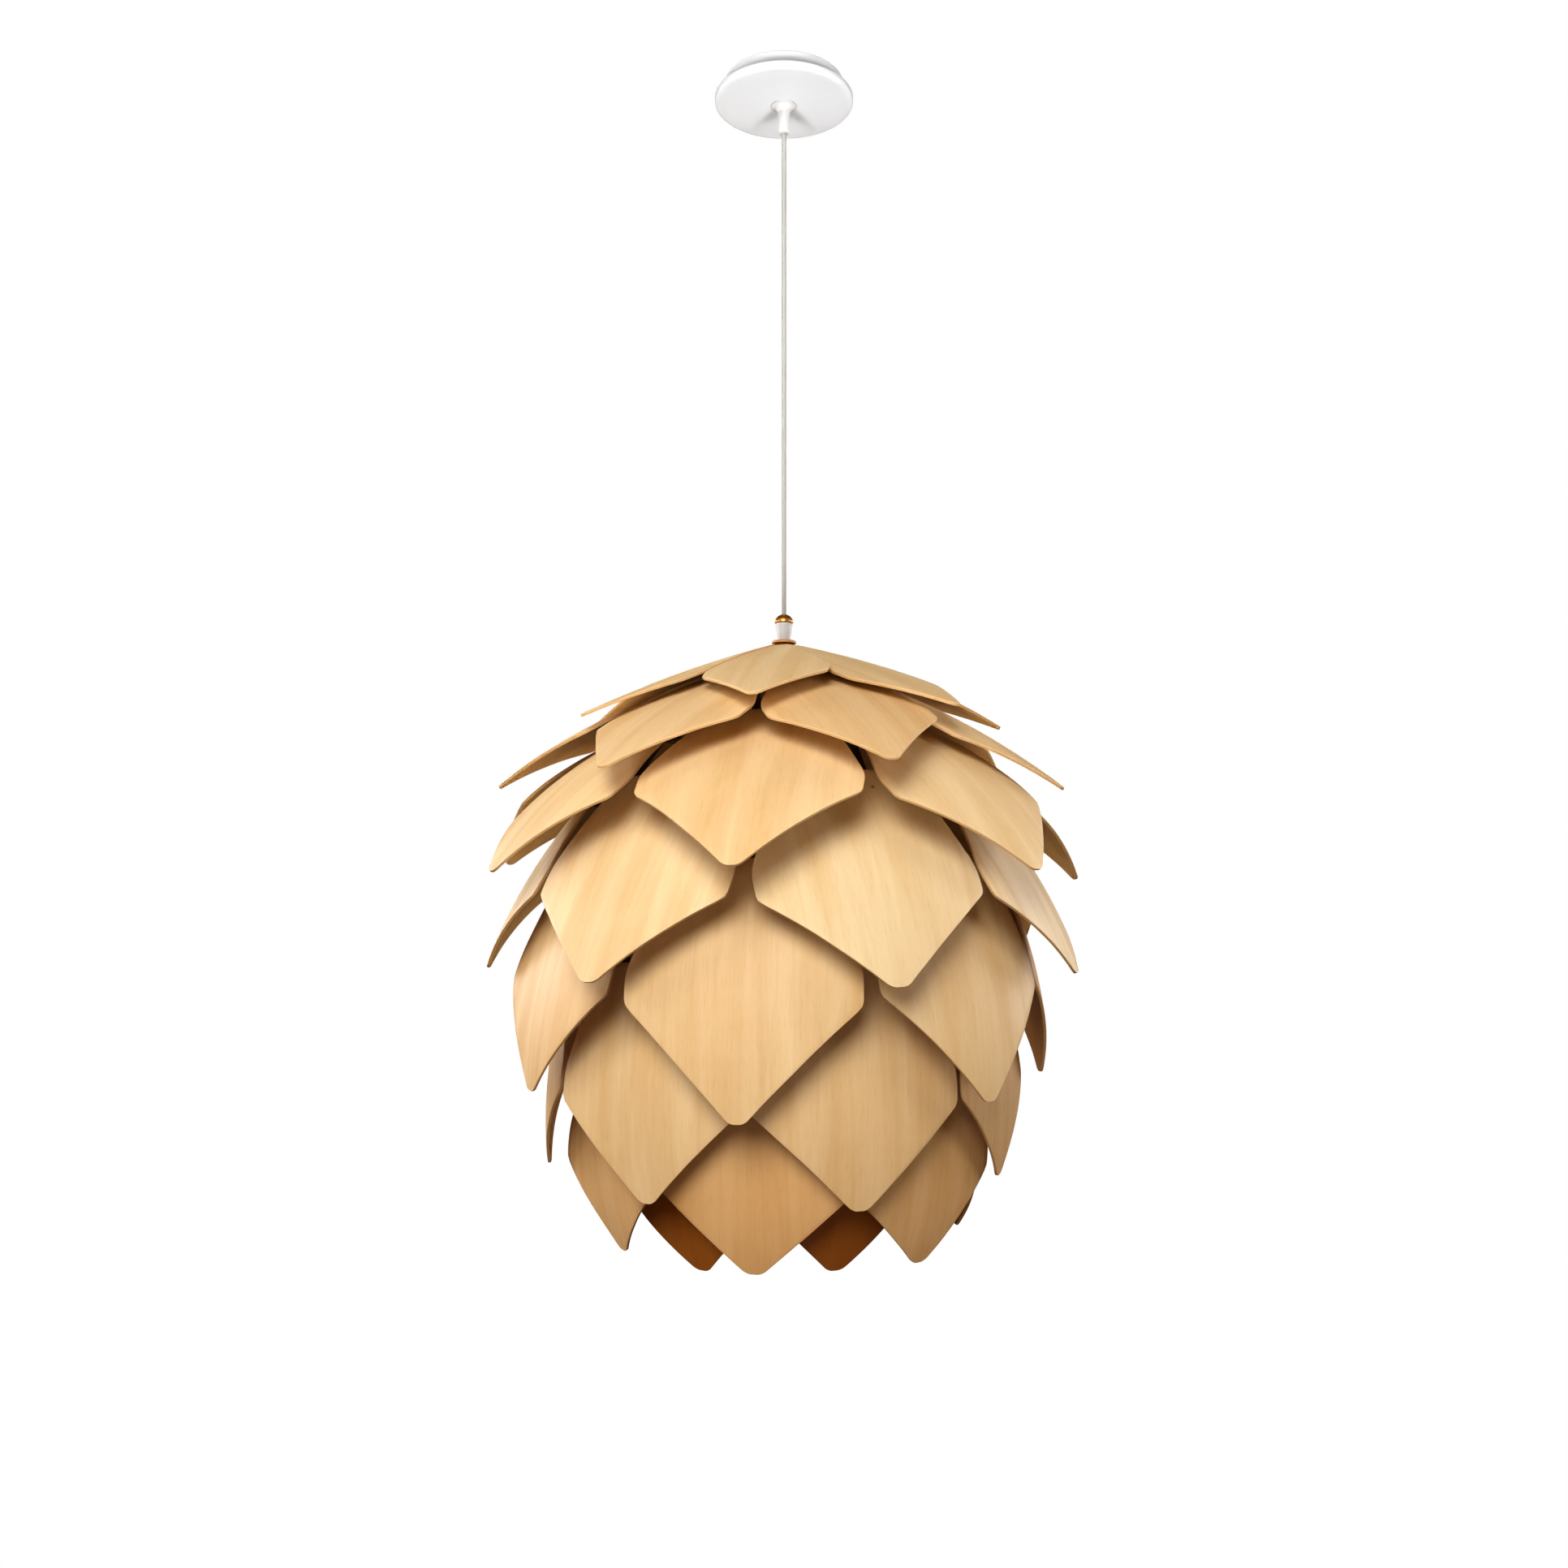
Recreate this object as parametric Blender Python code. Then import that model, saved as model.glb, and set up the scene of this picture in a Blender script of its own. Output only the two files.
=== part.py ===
"""Pendant lamp: a ceiling canopy, a taut cord and a shade of bent plywood petals.

Metres, +Z up. The origin is on the ceiling face of the canopy's plate, at the lamp's axis,
so the whole lamp hangs below z = 0. The shade has eight tiers of seven petals on a cage of
steel strip. Each tier is turned half a step from the one above it.
"""
import math
import random
from collections import namedtuple

import bmesh
import bpy
from mathutils import Matrix, Vector

CLEARANCE = 0.0003

# Canopy against the ceiling
PLATE_RADIUS = 0.046
PLATE_THICKNESS = 0.002
WIRE_HOLE_RADIUS = 0.006
WIRE_HOLE_OFFSET = 0.024
COLLAR_RADIUS = 0.0495
RIM_RADIUS = 0.058
RIM_HEIGHT = 0.0062
CANOPY_HEIGHT = 0.0184
CANOPY_WALL = 0.0018
CANOPY_EDGE = 0.0012
TERMINAL_SIZE = (0.024, 0.014, 0.008)
TERMINAL_OFFSET = 0.026
TERMINAL_EDGE = 0.0008

# Cord and the grips at its two ends
CORD_DIAMETER = 0.0038
CORD_ENTRY = 0.003
CORD_POINTS = 24
CANOPY_GRIP_END = -0.0423
CANOPY_GRIP_FLARE = 0.0106
CANOPY_GRIP_NECK = 0.0048
CANOPY_GRIP_EDGE = 0.0010
FLARE_RIM = 0.0012
FLARE_MIDDLE = 0.0066
FLARE_MIDDLE_DROP = 0.0040
FLARE_DROP = 0.0085
STEM_RADIUS = 0.0049
STEM_ABOVE_NUT = 0.001
CAP_TOP = -0.4467
CAP_BOTTOM = -0.4538
CAP_RADIUS = 0.0078
SHADE_GRIP_TOP_RADIUS = 0.0070
SHADE_GRIP_RADIUS = 0.0052
SHADE_GRIP_BOTTOM = -0.4685
SHADE_GRIP_EDGE = 0.0008
WASHER_RADIUS = 0.0102
WASHER_EDGE = 0.0012
WASHER_BOTTOM = -0.4713
BORE_RADIUS = 0.0052

# Shade
PETALS = 7
PLY = 0.0022
SHADE_TURN = -7.7
SIDE_EDGE = 0.024
CORNER_BLEND = 0.0035
TIP_CUT = 0.005
TIP_FLAT = 0.3
HOOP_DROP = 0.012
LEAN_SPREAD = 0.9
SWAY_SPREAD = 0.7

# root, shoulder and tip are (radius, height) on a petal's middle line; the halves are
# half its width at root and shoulder; bow is the radius it is bent to across its width
Tier = namedtuple("Tier", "turn root shoulder tip root_half half bow roll")
TIERS = (
    Tier(0.6, (0.012, -0.4738), (0.1235, -0.5125), (0.186, -0.540), 0.0050, 0.049, 0.30, 2.5),
    Tier(0.7, (0.055, -0.4990), (0.1680, -0.5475), (0.238, -0.592), 0.0240, 0.067, 0.28, 1.5),
    Tier(0.8, (0.096, -0.5370), (0.2060, -0.6015), (0.259, -0.663), 0.0370, 0.083, 0.29, 1.0),
    Tier(-0.6, (0.150, -0.5880), (0.2140, -0.6750), (0.245, -0.744), 0.0540, 0.088, 0.25, 0.0),
    Tier(-1.1, (0.172, -0.6480), (0.2110, -0.7490), (0.222, -0.833), 0.0560, 0.087, 0.24, 0.0),
    Tier(-0.7, (0.172, -0.7280), (0.1900, -0.8330), (0.185, -0.906), 0.0540, 0.081, 0.22, 0.0),
    Tier(-0.8, (0.160, -0.8040), (0.1650, -0.9000), (0.149, -0.964), 0.0500, 0.077, 0.22, 2.2),
    Tier(1.0, (0.137, -0.8620), (0.1360, -0.9210), (0.119, -0.970), 0.0420, 0.058, 0.15, 0.0),
)

# How a petal sits out of line with its tier: degrees of lean out and of sway, metres that it
# hangs lower, and metres that its left (-) or right (+) side springs out at the shoulder
Fit = namedtuple("Fit", "lean sway slip spring", defaults=(0, 0, 0, 0))
ASKEW = {
    (1, 1): Fit(lean=1.5), (2, 1): Fit(lean=1.5), (2, 2): Fit(lean=-3.0), (2, 7): Fit(lean=1.5),
    (3, 1): Fit(lean=1.0, sway=-1.8), (3, 3): Fit(lean=-2.5), (3, 6): Fit(lean=2.0),
    (4, 1): Fit(sway=3.0), (5, 1): Fit(slip=0.007), (5, 7): Fit(spring=-0.010),
    (6, 1): Fit(slip=0.004), (6, 2): Fit(spring=0.010), (6, 6): Fit(lean=3.0),
    (6, 7): Fit(slip=0.004, spring=-0.010), (7, 7): Fit(spring=-0.016),
    (8, 6): Fit(slip=-0.014), (8, 7): Fit(slip=0.004, spring=-0.006),
}

# Cage of steel strip that the petals are fixed to
STRIP_WIDTH = 0.010
STRIP_THICKNESS = 0.002
HOOP_STEPS = 28
HOOP_GAP = 0.0012
WELD_DEPTH = 0.001
HUB_SLOPE = math.radians(17)
CONE_TOP = -0.4702
ROSETTE_RADIUS = 0.024
ROSETTE_THICKNESS = 0.003
HUB_RADIUS = 0.030
HUB_THICKNESS = 0.0025

# Lampholder and lamp
TUBE_BORE = 0.0026
TUBE_BOTTOM = -0.489
NUT_TOP = -0.4790
NUT_HEIGHT = 0.0036
NUT_CORNER_RADIUS = 0.0084
HOLDER_TOP = -0.4835
HOLDER_BOTTOM = -0.522
HOLDER_RADIUS = 0.0195
HOLDER_NECK = 0.0117
HOLDER_CHEEK = 0.0181
HOLDER_FLOOR = 0.008
HOLDER_SHOULDER = 0.004
HOLDER_EDGE = 0.001
SCREW_SHELL_RADIUS = 0.0132
SCREW_SHELL_TOP = -0.4955
SCREW_SHELL_FIT = 0.0004
SCREW_SHELL_SLOPE = 0.005
CONTACT_RADIUS = 0.006
LAMP_NECK = ((0.0128, 0.0), (0.0150, 0.009), (0.0215, 0.024))
LAMP_BOWL_START = 0.45
LAMP_BOWL_STEPS = 5
LAMP_BOTTOM = -0.602
LAMP_RADIUS = 0.030

TURNED_STEPS = 32
SMALL_STEPS = 20
LAMP_STEPS = 24
DOME_STEPS = 5
SMOOTH_ANGLE = math.radians(35)


def make_material(name, colour, roughness, metallic=0.0):
    material = bpy.data.materials.new(name)
    material.use_nodes = True
    shader = material.node_tree.nodes["Principled BSDF"]
    shader.inputs["Base Color"].default_value = (*colour, 1.0)
    shader.inputs["Roughness"].default_value = roughness
    shader.inputs["Metallic"].default_value = metallic
    return material


def add_object(name, bm, material):
    """Writes a bmesh to a new object with its faces pointing out."""
    bmesh.ops.recalc_face_normals(bm, faces=bm.faces)
    mesh = bpy.data.meshes.new(name)
    bm.to_mesh(mesh)
    bm.free()
    mesh.materials.append(material)
    item = bpy.data.objects.new(name, mesh)
    bpy.context.scene.collection.objects.link(item)
    return item


def turned(name, outline, material, steps=TURNED_STEPS):
    """Spins a closed (radius, height) outline round the lamp's axis and smooths it."""
    bm = bmesh.new()
    points = [bm.verts.new((radius, 0, height)) for radius, height in outline]
    edges = [bm.edges.new(pair) for pair in zip(points, points[1:])]
    if min(outline[0][0], outline[-1][0]) > 0:
        edges.append(bm.edges.new((points[-1], points[0])))
    bmesh.ops.spin(bm, geom=points + edges, cent=(0, 0, 0), axis=(0, 0, 1),
                   angle=math.tau, steps=steps, use_merge=True)
    bmesh.ops.remove_doubles(bm, verts=bm.verts, dist=1e-6)
    item = add_object(name, bm, material)
    item.data.shade_smooth()
    item.data.set_sharp_from_angle(angle=SMOOTH_ANGLE)
    return item


def keep_one_body(target, extras):
    """Joins the extra objects to the target with one union and removes them."""
    group = bpy.data.collections.new(target.name + "_parts")
    bpy.context.scene.collection.children.link(group)
    for extra in extras:
        group.objects.link(extra)
    union = target.modifiers.new("Join", "BOOLEAN")
    union.operation = "UNION"
    union.operand_type = "COLLECTION"
    union.collection = group
    view = bpy.context.evaluated_depsgraph_get()
    joined = bpy.data.meshes.new_from_object(target.evaluated_get(view))
    target.modifiers.remove(union)
    target.data = joined
    for extra in extras:
        bpy.data.objects.remove(extra)
    bpy.data.collections.remove(group)
    return target


def middle_line(tier, s):
    """Point and outward normal on a petal's middle line, s metres from its root."""
    root, shoulder, tip = Vector(tier.root), Vector(tier.shoulder), Vector(tier.tip)
    upper = (shoulder - root).length
    length = upper + (tip - shoulder).length
    t, m = s / length, upper / length
    weights = ((t - m) * (t - 1) / m, t * (t - 1) / (m * (m - 1)), t * (t - m) / (1 - m))
    slopes = ((2 * t - m - 1) / m, (2 * t - 1) / (m * (m - 1)), (2 * t - m) / (1 - m))
    point = sum((p * w for p, w in zip((root, shoulder, tip), weights)), Vector((0, 0)))
    along = sum((p * w for p, w in zip((root, shoulder, tip), slopes)), Vector((0, 0)))
    along.normalize()
    return point, Vector((-along.y, along.x))


def petal_length(tier):
    root, shoulder, tip = Vector(tier.root), Vector(tier.shoulder), Vector(tier.tip)
    return (shoulder - root).length, (shoulder - root).length + (tip - shoulder).length


def blend_min(a, b):
    """The smaller of two widths, with the corner between them rounded."""
    h = max(CORNER_BLEND - abs(a - b), 0) / CORNER_BLEND
    return min(a, b) - h * h * CORNER_BLEND / 4


def tip_round(tier):
    """Radius of the rounded tip, and where its arc starts."""
    lower, length = petal_length(tier)
    angle = math.atan2(tier.half, length + TIP_CUT - lower)
    radius = TIP_CUT / (1 / math.sin(angle) - 1)
    return radius, length + TIP_CUT - radius * math.cos(angle) ** 2 / math.sin(angle)


def half_width(tier, s):
    """Half a petal's width, s metres from its root."""
    lower, length = petal_length(tier)
    upper = lower - SIDE_EDGE
    radius, arc_start = tip_round(tier)
    if s > arc_start:
        return math.sqrt(max(radius ** 2 - (s - length + radius) ** 2, 0))
    flank = tier.root_half + (tier.half - tier.root_half) * s / upper
    point = tier.half * (length + TIP_CUT - s) / (length + TIP_CUT - lower)
    return blend_min(blend_min(flank, tier.half), point)


def petal_rows(tier):
    """Distances from the root at which the petal's outline turns."""
    lower, length = petal_length(tier)
    upper = lower - SIDE_EDGE
    radius, arc_start = tip_round(tier)
    end = length - radius * (1 - math.sqrt(1 - TIP_FLAT ** 2))
    fixed = HOOP_DROP + STRIP_WIDTH
    return (0, HOOP_DROP, fixed, upper, lower, (lower + arc_start) / 2, arc_start, end)


def petal_place(tier, s, x, fit):
    """Point on a petal's outer face, before the petal is turned to its bearing."""
    lean, sway = math.radians(fit.lean), math.radians(fit.sway)
    turned_s = HOOP_DROP + (s - HOOP_DROP) * math.cos(sway) - x * math.sin(sway)
    turned_x = (s - HOOP_DROP) * math.sin(sway) + x * math.cos(sway)
    point, normal = middle_line(tier, turned_s + fit.slip)
    roll = math.radians(tier.roll)
    offset = turned_x * math.sin(roll) - turned_x ** 2 / (2 * tier.bow)
    if turned_x * fit.spring > 0:
        shoulder_s, _ = petal_length(tier)
        offset += abs(fit.spring) * (turned_x / tier.half) ** 2 * max(turned_s, 0) / shoulder_s
    point = point + normal * offset
    hinge, _ = middle_line(tier, HOOP_DROP)
    point = hinge + Matrix.Rotation(lean, 2) @ (point - hinge)
    return Vector((turned_x * math.cos(roll), -point.x, point.y))


def drawn_fit(number, petal, draws):
    """A petal's fit with its random share of lean and sway added."""
    askew = ASKEW.get((number, petal), Fit())
    lean = askew.lean + draws.uniform(-LEAN_SPREAD, LEAN_SPREAD)
    sway = askew.sway + draws.uniform(-SWAY_SPREAD, SWAY_SPREAD)
    return askew._replace(lean=lean, sway=sway)


def make_petal(name, tier, bearing, fit, material):
    """A flat grid bent to the petal's form and thickened inwards by the plywood."""
    rows = petal_rows(tier)
    bm = bmesh.new()
    bmesh.ops.create_grid(bm, x_segments=4, y_segments=len(rows) - 1, size=1)
    for vert in bm.verts:
        s = rows[round((vert.co.y + 1) / 2 * (len(rows) - 1))]
        x = vert.co.x * half_width(tier, s)
        vert.co = petal_place(tier, s, x, fit)
    bmesh.ops.rotate(bm, verts=bm.verts, matrix=Matrix.Rotation(bearing, 3, "Z"))
    bm.normal_update()
    centre = Vector((math.sin(bearing), -math.cos(bearing), 0))
    if sum(face.normal.dot(centre) for face in bm.faces) < 0:
        bmesh.ops.reverse_faces(bm, faces=bm.faces)
    bmesh.ops.solidify(bm, geom=bm.faces, thickness=PLY)
    item = add_object(name, bm, material)
    item.data.shade_smooth()
    item.data.set_sharp_from_angle(angle=SMOOTH_ANGLE)
    return item


def petals_of_tier(number, draws, material):
    tier = TIERS[number - 1]
    step = math.tau / PETALS
    offset = 0 if number % 2 else step / 2
    petals = []
    for k in range(PETALS):
        fit = drawn_fit(number, k + 1, draws)
        bearing = math.radians(SHADE_TURN + tier.turn) + offset + k * step
        petals.append(make_petal(f"petal_{number}_{k + 1}", tier, bearing, fit, material))
    return petals


def hoop_outline(number):
    """Corners of a hoop's section, from its top outer edge; it lies along its petals' backs."""
    point, normal = middle_line(TIERS[number - 1], HOOP_DROP)
    sink = -WELD_DEPTH if number == len(TIERS) else HOOP_GAP
    top = point - normal * (PLY + sink)
    across, down = normal * STRIP_THICKNESS, Vector((normal.y, -normal.x)) * STRIP_WIDTH
    return top, top + down, top + down - across, top - across


def make_hoop(name, number, material):
    hoop = turned(name, hoop_outline(number), material, HOOP_STEPS)
    if number < len(TIERS):
        turn = SHADE_TURN + TIERS[number - 1].turn
    else:
        turn = SHADE_TURN + 180 / HOOP_STEPS
    hoop.data.transform(Matrix.Rotation(math.radians(turn - 90), 4, "Z"))
    return hoop


def cone_height(radius, drop):
    return CONE_TOP - radius * math.tan(HUB_SLOPE) - drop


def cone_ring(name, outer, drop, thickness, material):
    """A flat-sided ring on the slope of the shade's top."""
    outline = ((BORE_RADIUS, cone_height(BORE_RADIUS, drop)), (outer, cone_height(outer, drop)),
               (outer, cone_height(outer, drop + thickness)),
               (BORE_RADIUS, cone_height(BORE_RADIUS, drop + thickness)))
    return turned(name, outline, material, HOOP_STEPS)


def make_rib(name, bearing, material):
    """One strip from the hub down the inside of the hoops."""
    drop = ROSETTE_THICKNESS + CLEARANCE + HUB_THICKNESS / 2
    start = HUB_RADIUS - STRIP_WIDTH
    path = [Vector((start, cone_height(start, drop))),
            Vector((HUB_RADIUS, cone_height(HUB_RADIUS, drop)))]
    for number in range(2, len(TIERS)):
        root, normal = middle_line(TIERS[number - 1], 0)
        path.append(root - normal * (PLY + 2 * HOOP_GAP))
        _, _, bottom_inner, top_inner = hoop_outline(number)
        sink = normal * WELD_DEPTH
        path += [top_inner + sink, bottom_inner + sink]
    top, bottom, bottom_inner, top_inner = hoop_outline(len(TIERS))
    inner = min(top_inner.x, bottom_inner.x) * math.cos(math.pi / HOOP_STEPS) - CLEARANCE
    path += [Vector((inner, top.y + CLEARANCE)), Vector((inner, bottom.y))]
    bm = bmesh.new()
    left = [bm.verts.new((-STRIP_WIDTH / 2, -p.x, p.y)) for p in path]
    edges = [bm.edges.new(pair) for pair in zip(left, left[1:])]
    strip = bmesh.ops.extrude_edge_only(bm, edges=edges)
    moved = [part for part in strip["geom"] if isinstance(part, bmesh.types.BMVert)]
    bmesh.ops.translate(bm, verts=moved, vec=(STRIP_WIDTH, 0, 0))
    bm.normal_update()
    if sum(face.normal.y for face in bm.faces) > 0:
        bmesh.ops.reverse_faces(bm, faces=bm.faces)
    bmesh.ops.solidify(bm, geom=bm.faces, thickness=STRIP_THICKNESS)
    bmesh.ops.rotate(bm, verts=bm.verts, matrix=Matrix.Rotation(bearing, 3, "Z"))
    return add_object(name, bm, material)


def make_shade(wood, steel):
    draws = random.Random(11)
    for number in range(1, len(TIERS) + 1):
        petals = petals_of_tier(number, draws, wood)
        if number == 1:
            ring = cone_ring("petal_rosette", ROSETTE_RADIUS, 0, ROSETTE_THICKNESS, wood)
            keep_one_body(ring, petals)
        elif number == len(TIERS):
            keep_one_body(make_hoop("bottom_petal_ring", number, wood), petals)
    hub_drop = ROSETTE_THICKNESS + CLEARANCE
    frame = cone_ring("shade_frame", HUB_RADIUS, hub_drop, HUB_THICKNESS, steel)
    parts = [make_hoop(f"hoop_{number}", number, steel) for number in range(2, len(TIERS))]
    for k in range(PETALS):
        bearing = math.radians(SHADE_TURN) + k * math.tau / PETALS
        parts.append(make_rib(f"rib_{k + 1}", bearing, steel))
    keep_one_body(frame, parts)


def make_plate(steel):
    """Ceiling plate with its wire hole beside the middle."""
    outline = ((0, 0), (PLATE_RADIUS, 0), (PLATE_RADIUS, -PLATE_THICKNESS), (0, -PLATE_THICKNESS))
    plate = turned("ceiling_plate", outline, steel)
    bm = bmesh.new()
    place = Matrix.Translation((WIRE_HOLE_OFFSET, 0, -PLATE_THICKNESS / 2))
    bmesh.ops.create_cone(bm, cap_ends=True, segments=16, radius1=WIRE_HOLE_RADIUS,
                          radius2=WIRE_HOLE_RADIUS, depth=2 * PLATE_THICKNESS, matrix=place)
    hole = add_object("wire_hole", bm, steel)
    hole.hide_render = True
    hole.display_type = "WIRE"
    cut = plate.modifiers.new("Wire hole", "BOOLEAN")
    cut.operation = "DIFFERENCE"
    cut.object = hole


def make_canopy(enamel):
    """Cover: a collar that slips over the plate, and a wider rim below it."""
    wall, floor = CANOPY_WALL, -CANOPY_HEIGHT
    rim_top, edge = floor + RIM_HEIGHT, CANOPY_EDGE
    outline = ((COLLAR_RADIUS - wall, 0), (COLLAR_RADIUS, 0), (COLLAR_RADIUS, rim_top),
               (RIM_RADIUS - edge, rim_top), (RIM_RADIUS, rim_top - edge),
               (RIM_RADIUS, floor + 2 * edge), (RIM_RADIUS - edge, floor + edge / 2),
               (RIM_RADIUS - 4 * edge, floor), (BORE_RADIUS, floor),
               (BORE_RADIUS, floor + wall), (COLLAR_RADIUS - wall, floor + wall))
    turned("canopy_cover", outline, enamel)


def make_canopy_grip(plastic):
    """Flared cord grip: its stem goes up through the cover, the cord comes out below."""
    top = -CANOPY_HEIGHT - CLEARANCE
    stem_top = -CANOPY_HEIGHT + CANOPY_WALL + CLEARANCE + NUT_HEIGHT + STEM_ABOVE_NUT
    hole = CORD_DIAMETER / 2 + CLEARANCE
    flare, neck, end = CANOPY_GRIP_FLARE, CANOPY_GRIP_NECK, CANOPY_GRIP_END
    outline = ((0, stem_top), (STEM_RADIUS, stem_top), (STEM_RADIUS, top), (flare, top),
               (flare, top - FLARE_RIM), (FLARE_MIDDLE, top - FLARE_MIDDLE_DROP),
               (neck, top - FLARE_DROP), (neck, end + CANOPY_GRIP_EDGE),
               (neck - CANOPY_GRIP_EDGE, end), (hole, end),
               (hole, end + CORD_ENTRY + CLEARANCE), (0, end + CORD_ENTRY + CLEARANCE))
    turned("canopy_grip", outline, plastic, SMALL_STEPS)


def hex_nut(name, top, material):
    bm = bmesh.new()
    place = Matrix.Translation((0, 0, top))
    bmesh.ops.create_circle(bm, segments=6, radius=NUT_CORNER_RADIUS, matrix=place)
    bmesh.ops.create_circle(bm, segments=SMALL_STEPS, radius=BORE_RADIUS, matrix=place)
    bmesh.ops.triangle_fill(bm, edges=bm.edges, use_beauty=True)
    wall = bmesh.ops.extrude_face_region(bm, geom=bm.faces)
    moved = [part for part in wall["geom"] if isinstance(part, bmesh.types.BMVert)]
    bmesh.ops.translate(bm, verts=moved, vec=(0, 0, -NUT_HEIGHT))
    add_object(name, bm, material)


def make_terminal(plastic):
    """Terminal block under the ceiling plate, where the mains and the cord are joined."""
    bm = bmesh.new()
    width, depth, height = TERMINAL_SIZE
    place = Matrix.Translation((0, TERMINAL_OFFSET, -PLATE_THICKNESS - CLEARANCE - height / 2))
    bmesh.ops.create_cube(bm, size=1, matrix=place @ Matrix.Diagonal((width, depth, height, 1)))
    bmesh.ops.bevel(bm, geom=bm.edges, offset=TERMINAL_EDGE, segments=1, profile=0.5,
                     affect="EDGES")
    add_object("terminal_block", bm, plastic)


def make_cord(covering):
    """Taut cord from inside the canopy grip to inside the domed cap."""
    top, bottom = CANOPY_GRIP_END + CORD_ENTRY, CAP_TOP - CORD_ENTRY
    curve = bpy.data.curves.new("cord", "CURVE")
    curve.dimensions = "3D"
    curve.bevel_depth = CORD_DIAMETER / 2
    curve.bevel_resolution = 2
    curve.use_fill_caps = True
    line = curve.splines.new("POLY")
    line.points.add(CORD_POINTS - 1)
    for index, point in enumerate(line.points):
        point.co = (0, 0, top + (bottom - top) * index / (CORD_POINTS - 1), 1)
    curve.materials.append(covering)
    bpy.context.scene.collection.objects.link(bpy.data.objects.new("cord", curve))


def make_shade_grip(brass, plastic, wood):
    """Domed brass cap on a tapered grip, and the wooden washer that they stand on."""
    hole = CORD_DIAMETER / 2 + CLEARANCE
    pocket = CAP_TOP - CORD_ENTRY - CLEARANCE
    start = math.asin(hole / CAP_RADIUS)
    angles = [start + (math.pi / 2 - start) * i / DOME_STEPS for i in range(DOME_STEPS + 1)]
    dome = [(CAP_RADIUS * math.sin(a), CAP_BOTTOM + (CAP_TOP - CAP_BOTTOM) * math.cos(a))
            for a in angles]
    turned("domed_cap", [(0, pocket), (hole, pocket)] + dome + [(0, CAP_BOTTOM)],
           brass, SMALL_STEPS)
    top, bottom, edge = CAP_BOTTOM - CLEARANCE, SHADE_GRIP_BOTTOM, SHADE_GRIP_EDGE
    outline = ((0, top), (SHADE_GRIP_TOP_RADIUS - edge, top),
               (SHADE_GRIP_TOP_RADIUS, top - edge), (SHADE_GRIP_RADIUS, bottom + edge),
               (SHADE_GRIP_RADIUS - edge, bottom), (0, bottom))
    turned("shade_grip", outline, plastic, SMALL_STEPS)
    washer_top = SHADE_GRIP_BOTTOM - CLEARANCE
    outline = ((BORE_RADIUS, washer_top), (WASHER_RADIUS - 2 * WASHER_EDGE, washer_top),
               (WASHER_RADIUS, washer_top - WASHER_EDGE), (WASHER_RADIUS, WASHER_BOTTOM),
               (BORE_RADIUS, WASHER_BOTTOM))
    turned("top_washer", outline, wood, SMALL_STEPS)


def make_lamp(steel, plastic, glass):
    """Threaded tube, lampholder and bulb on the lamp's axis."""
    top = SHADE_GRIP_BOTTOM - CLEARANCE
    outline = ((TUBE_BORE, top), (STEM_RADIUS, top), (STEM_RADIUS, TUBE_BOTTOM),
               (TUBE_BORE, TUBE_BOTTOM))
    turned("threaded_tube", outline, steel, SMALL_STEPS)
    hex_nut("hub_nut", NUT_TOP, steel)
    socket = SCREW_SHELL_RADIUS + SCREW_SHELL_FIT
    floor = HOLDER_TOP - HOLDER_FLOOR
    outline = ((BORE_RADIUS, HOLDER_TOP), (HOLDER_NECK, HOLDER_TOP), (HOLDER_CHEEK, floor),
               (HOLDER_RADIUS, floor - HOLDER_SHOULDER),
               (HOLDER_RADIUS, HOLDER_BOTTOM + HOLDER_EDGE),
               (HOLDER_RADIUS - HOLDER_EDGE, HOLDER_BOTTOM),
               (socket, HOLDER_BOTTOM), (socket, floor), (BORE_RADIUS, floor))
    turned("lampholder", outline, plastic, LAMP_STEPS)
    shell_bottom = HOLDER_BOTTOM - CLEARANCE
    outline = ((0, SCREW_SHELL_TOP), (CONTACT_RADIUS, SCREW_SHELL_TOP),
               (SCREW_SHELL_RADIUS, SCREW_SHELL_TOP - SCREW_SHELL_SLOPE),
               (SCREW_SHELL_RADIUS, shell_bottom), (0, shell_bottom))
    turned("bulb_screw_shell", outline, steel, LAMP_STEPS)
    neck_top = shell_bottom - CLEARANCE
    neck = [(radius, neck_top - drop) for radius, drop in LAMP_NECK]
    centre = LAMP_BOTTOM + LAMP_RADIUS
    sweep = LAMP_BOWL_START + math.pi / 2
    angles = [LAMP_BOWL_START - sweep * i / LAMP_BOWL_STEPS for i in range(LAMP_BOWL_STEPS)]
    bowl = [(LAMP_RADIUS * math.cos(a), centre + LAMP_RADIUS * math.sin(a)) for a in angles]
    turned("bulb_glass", [(0, neck_top)] + neck + bowl + [(0, LAMP_BOTTOM)], glass, LAMP_STEPS)


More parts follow.
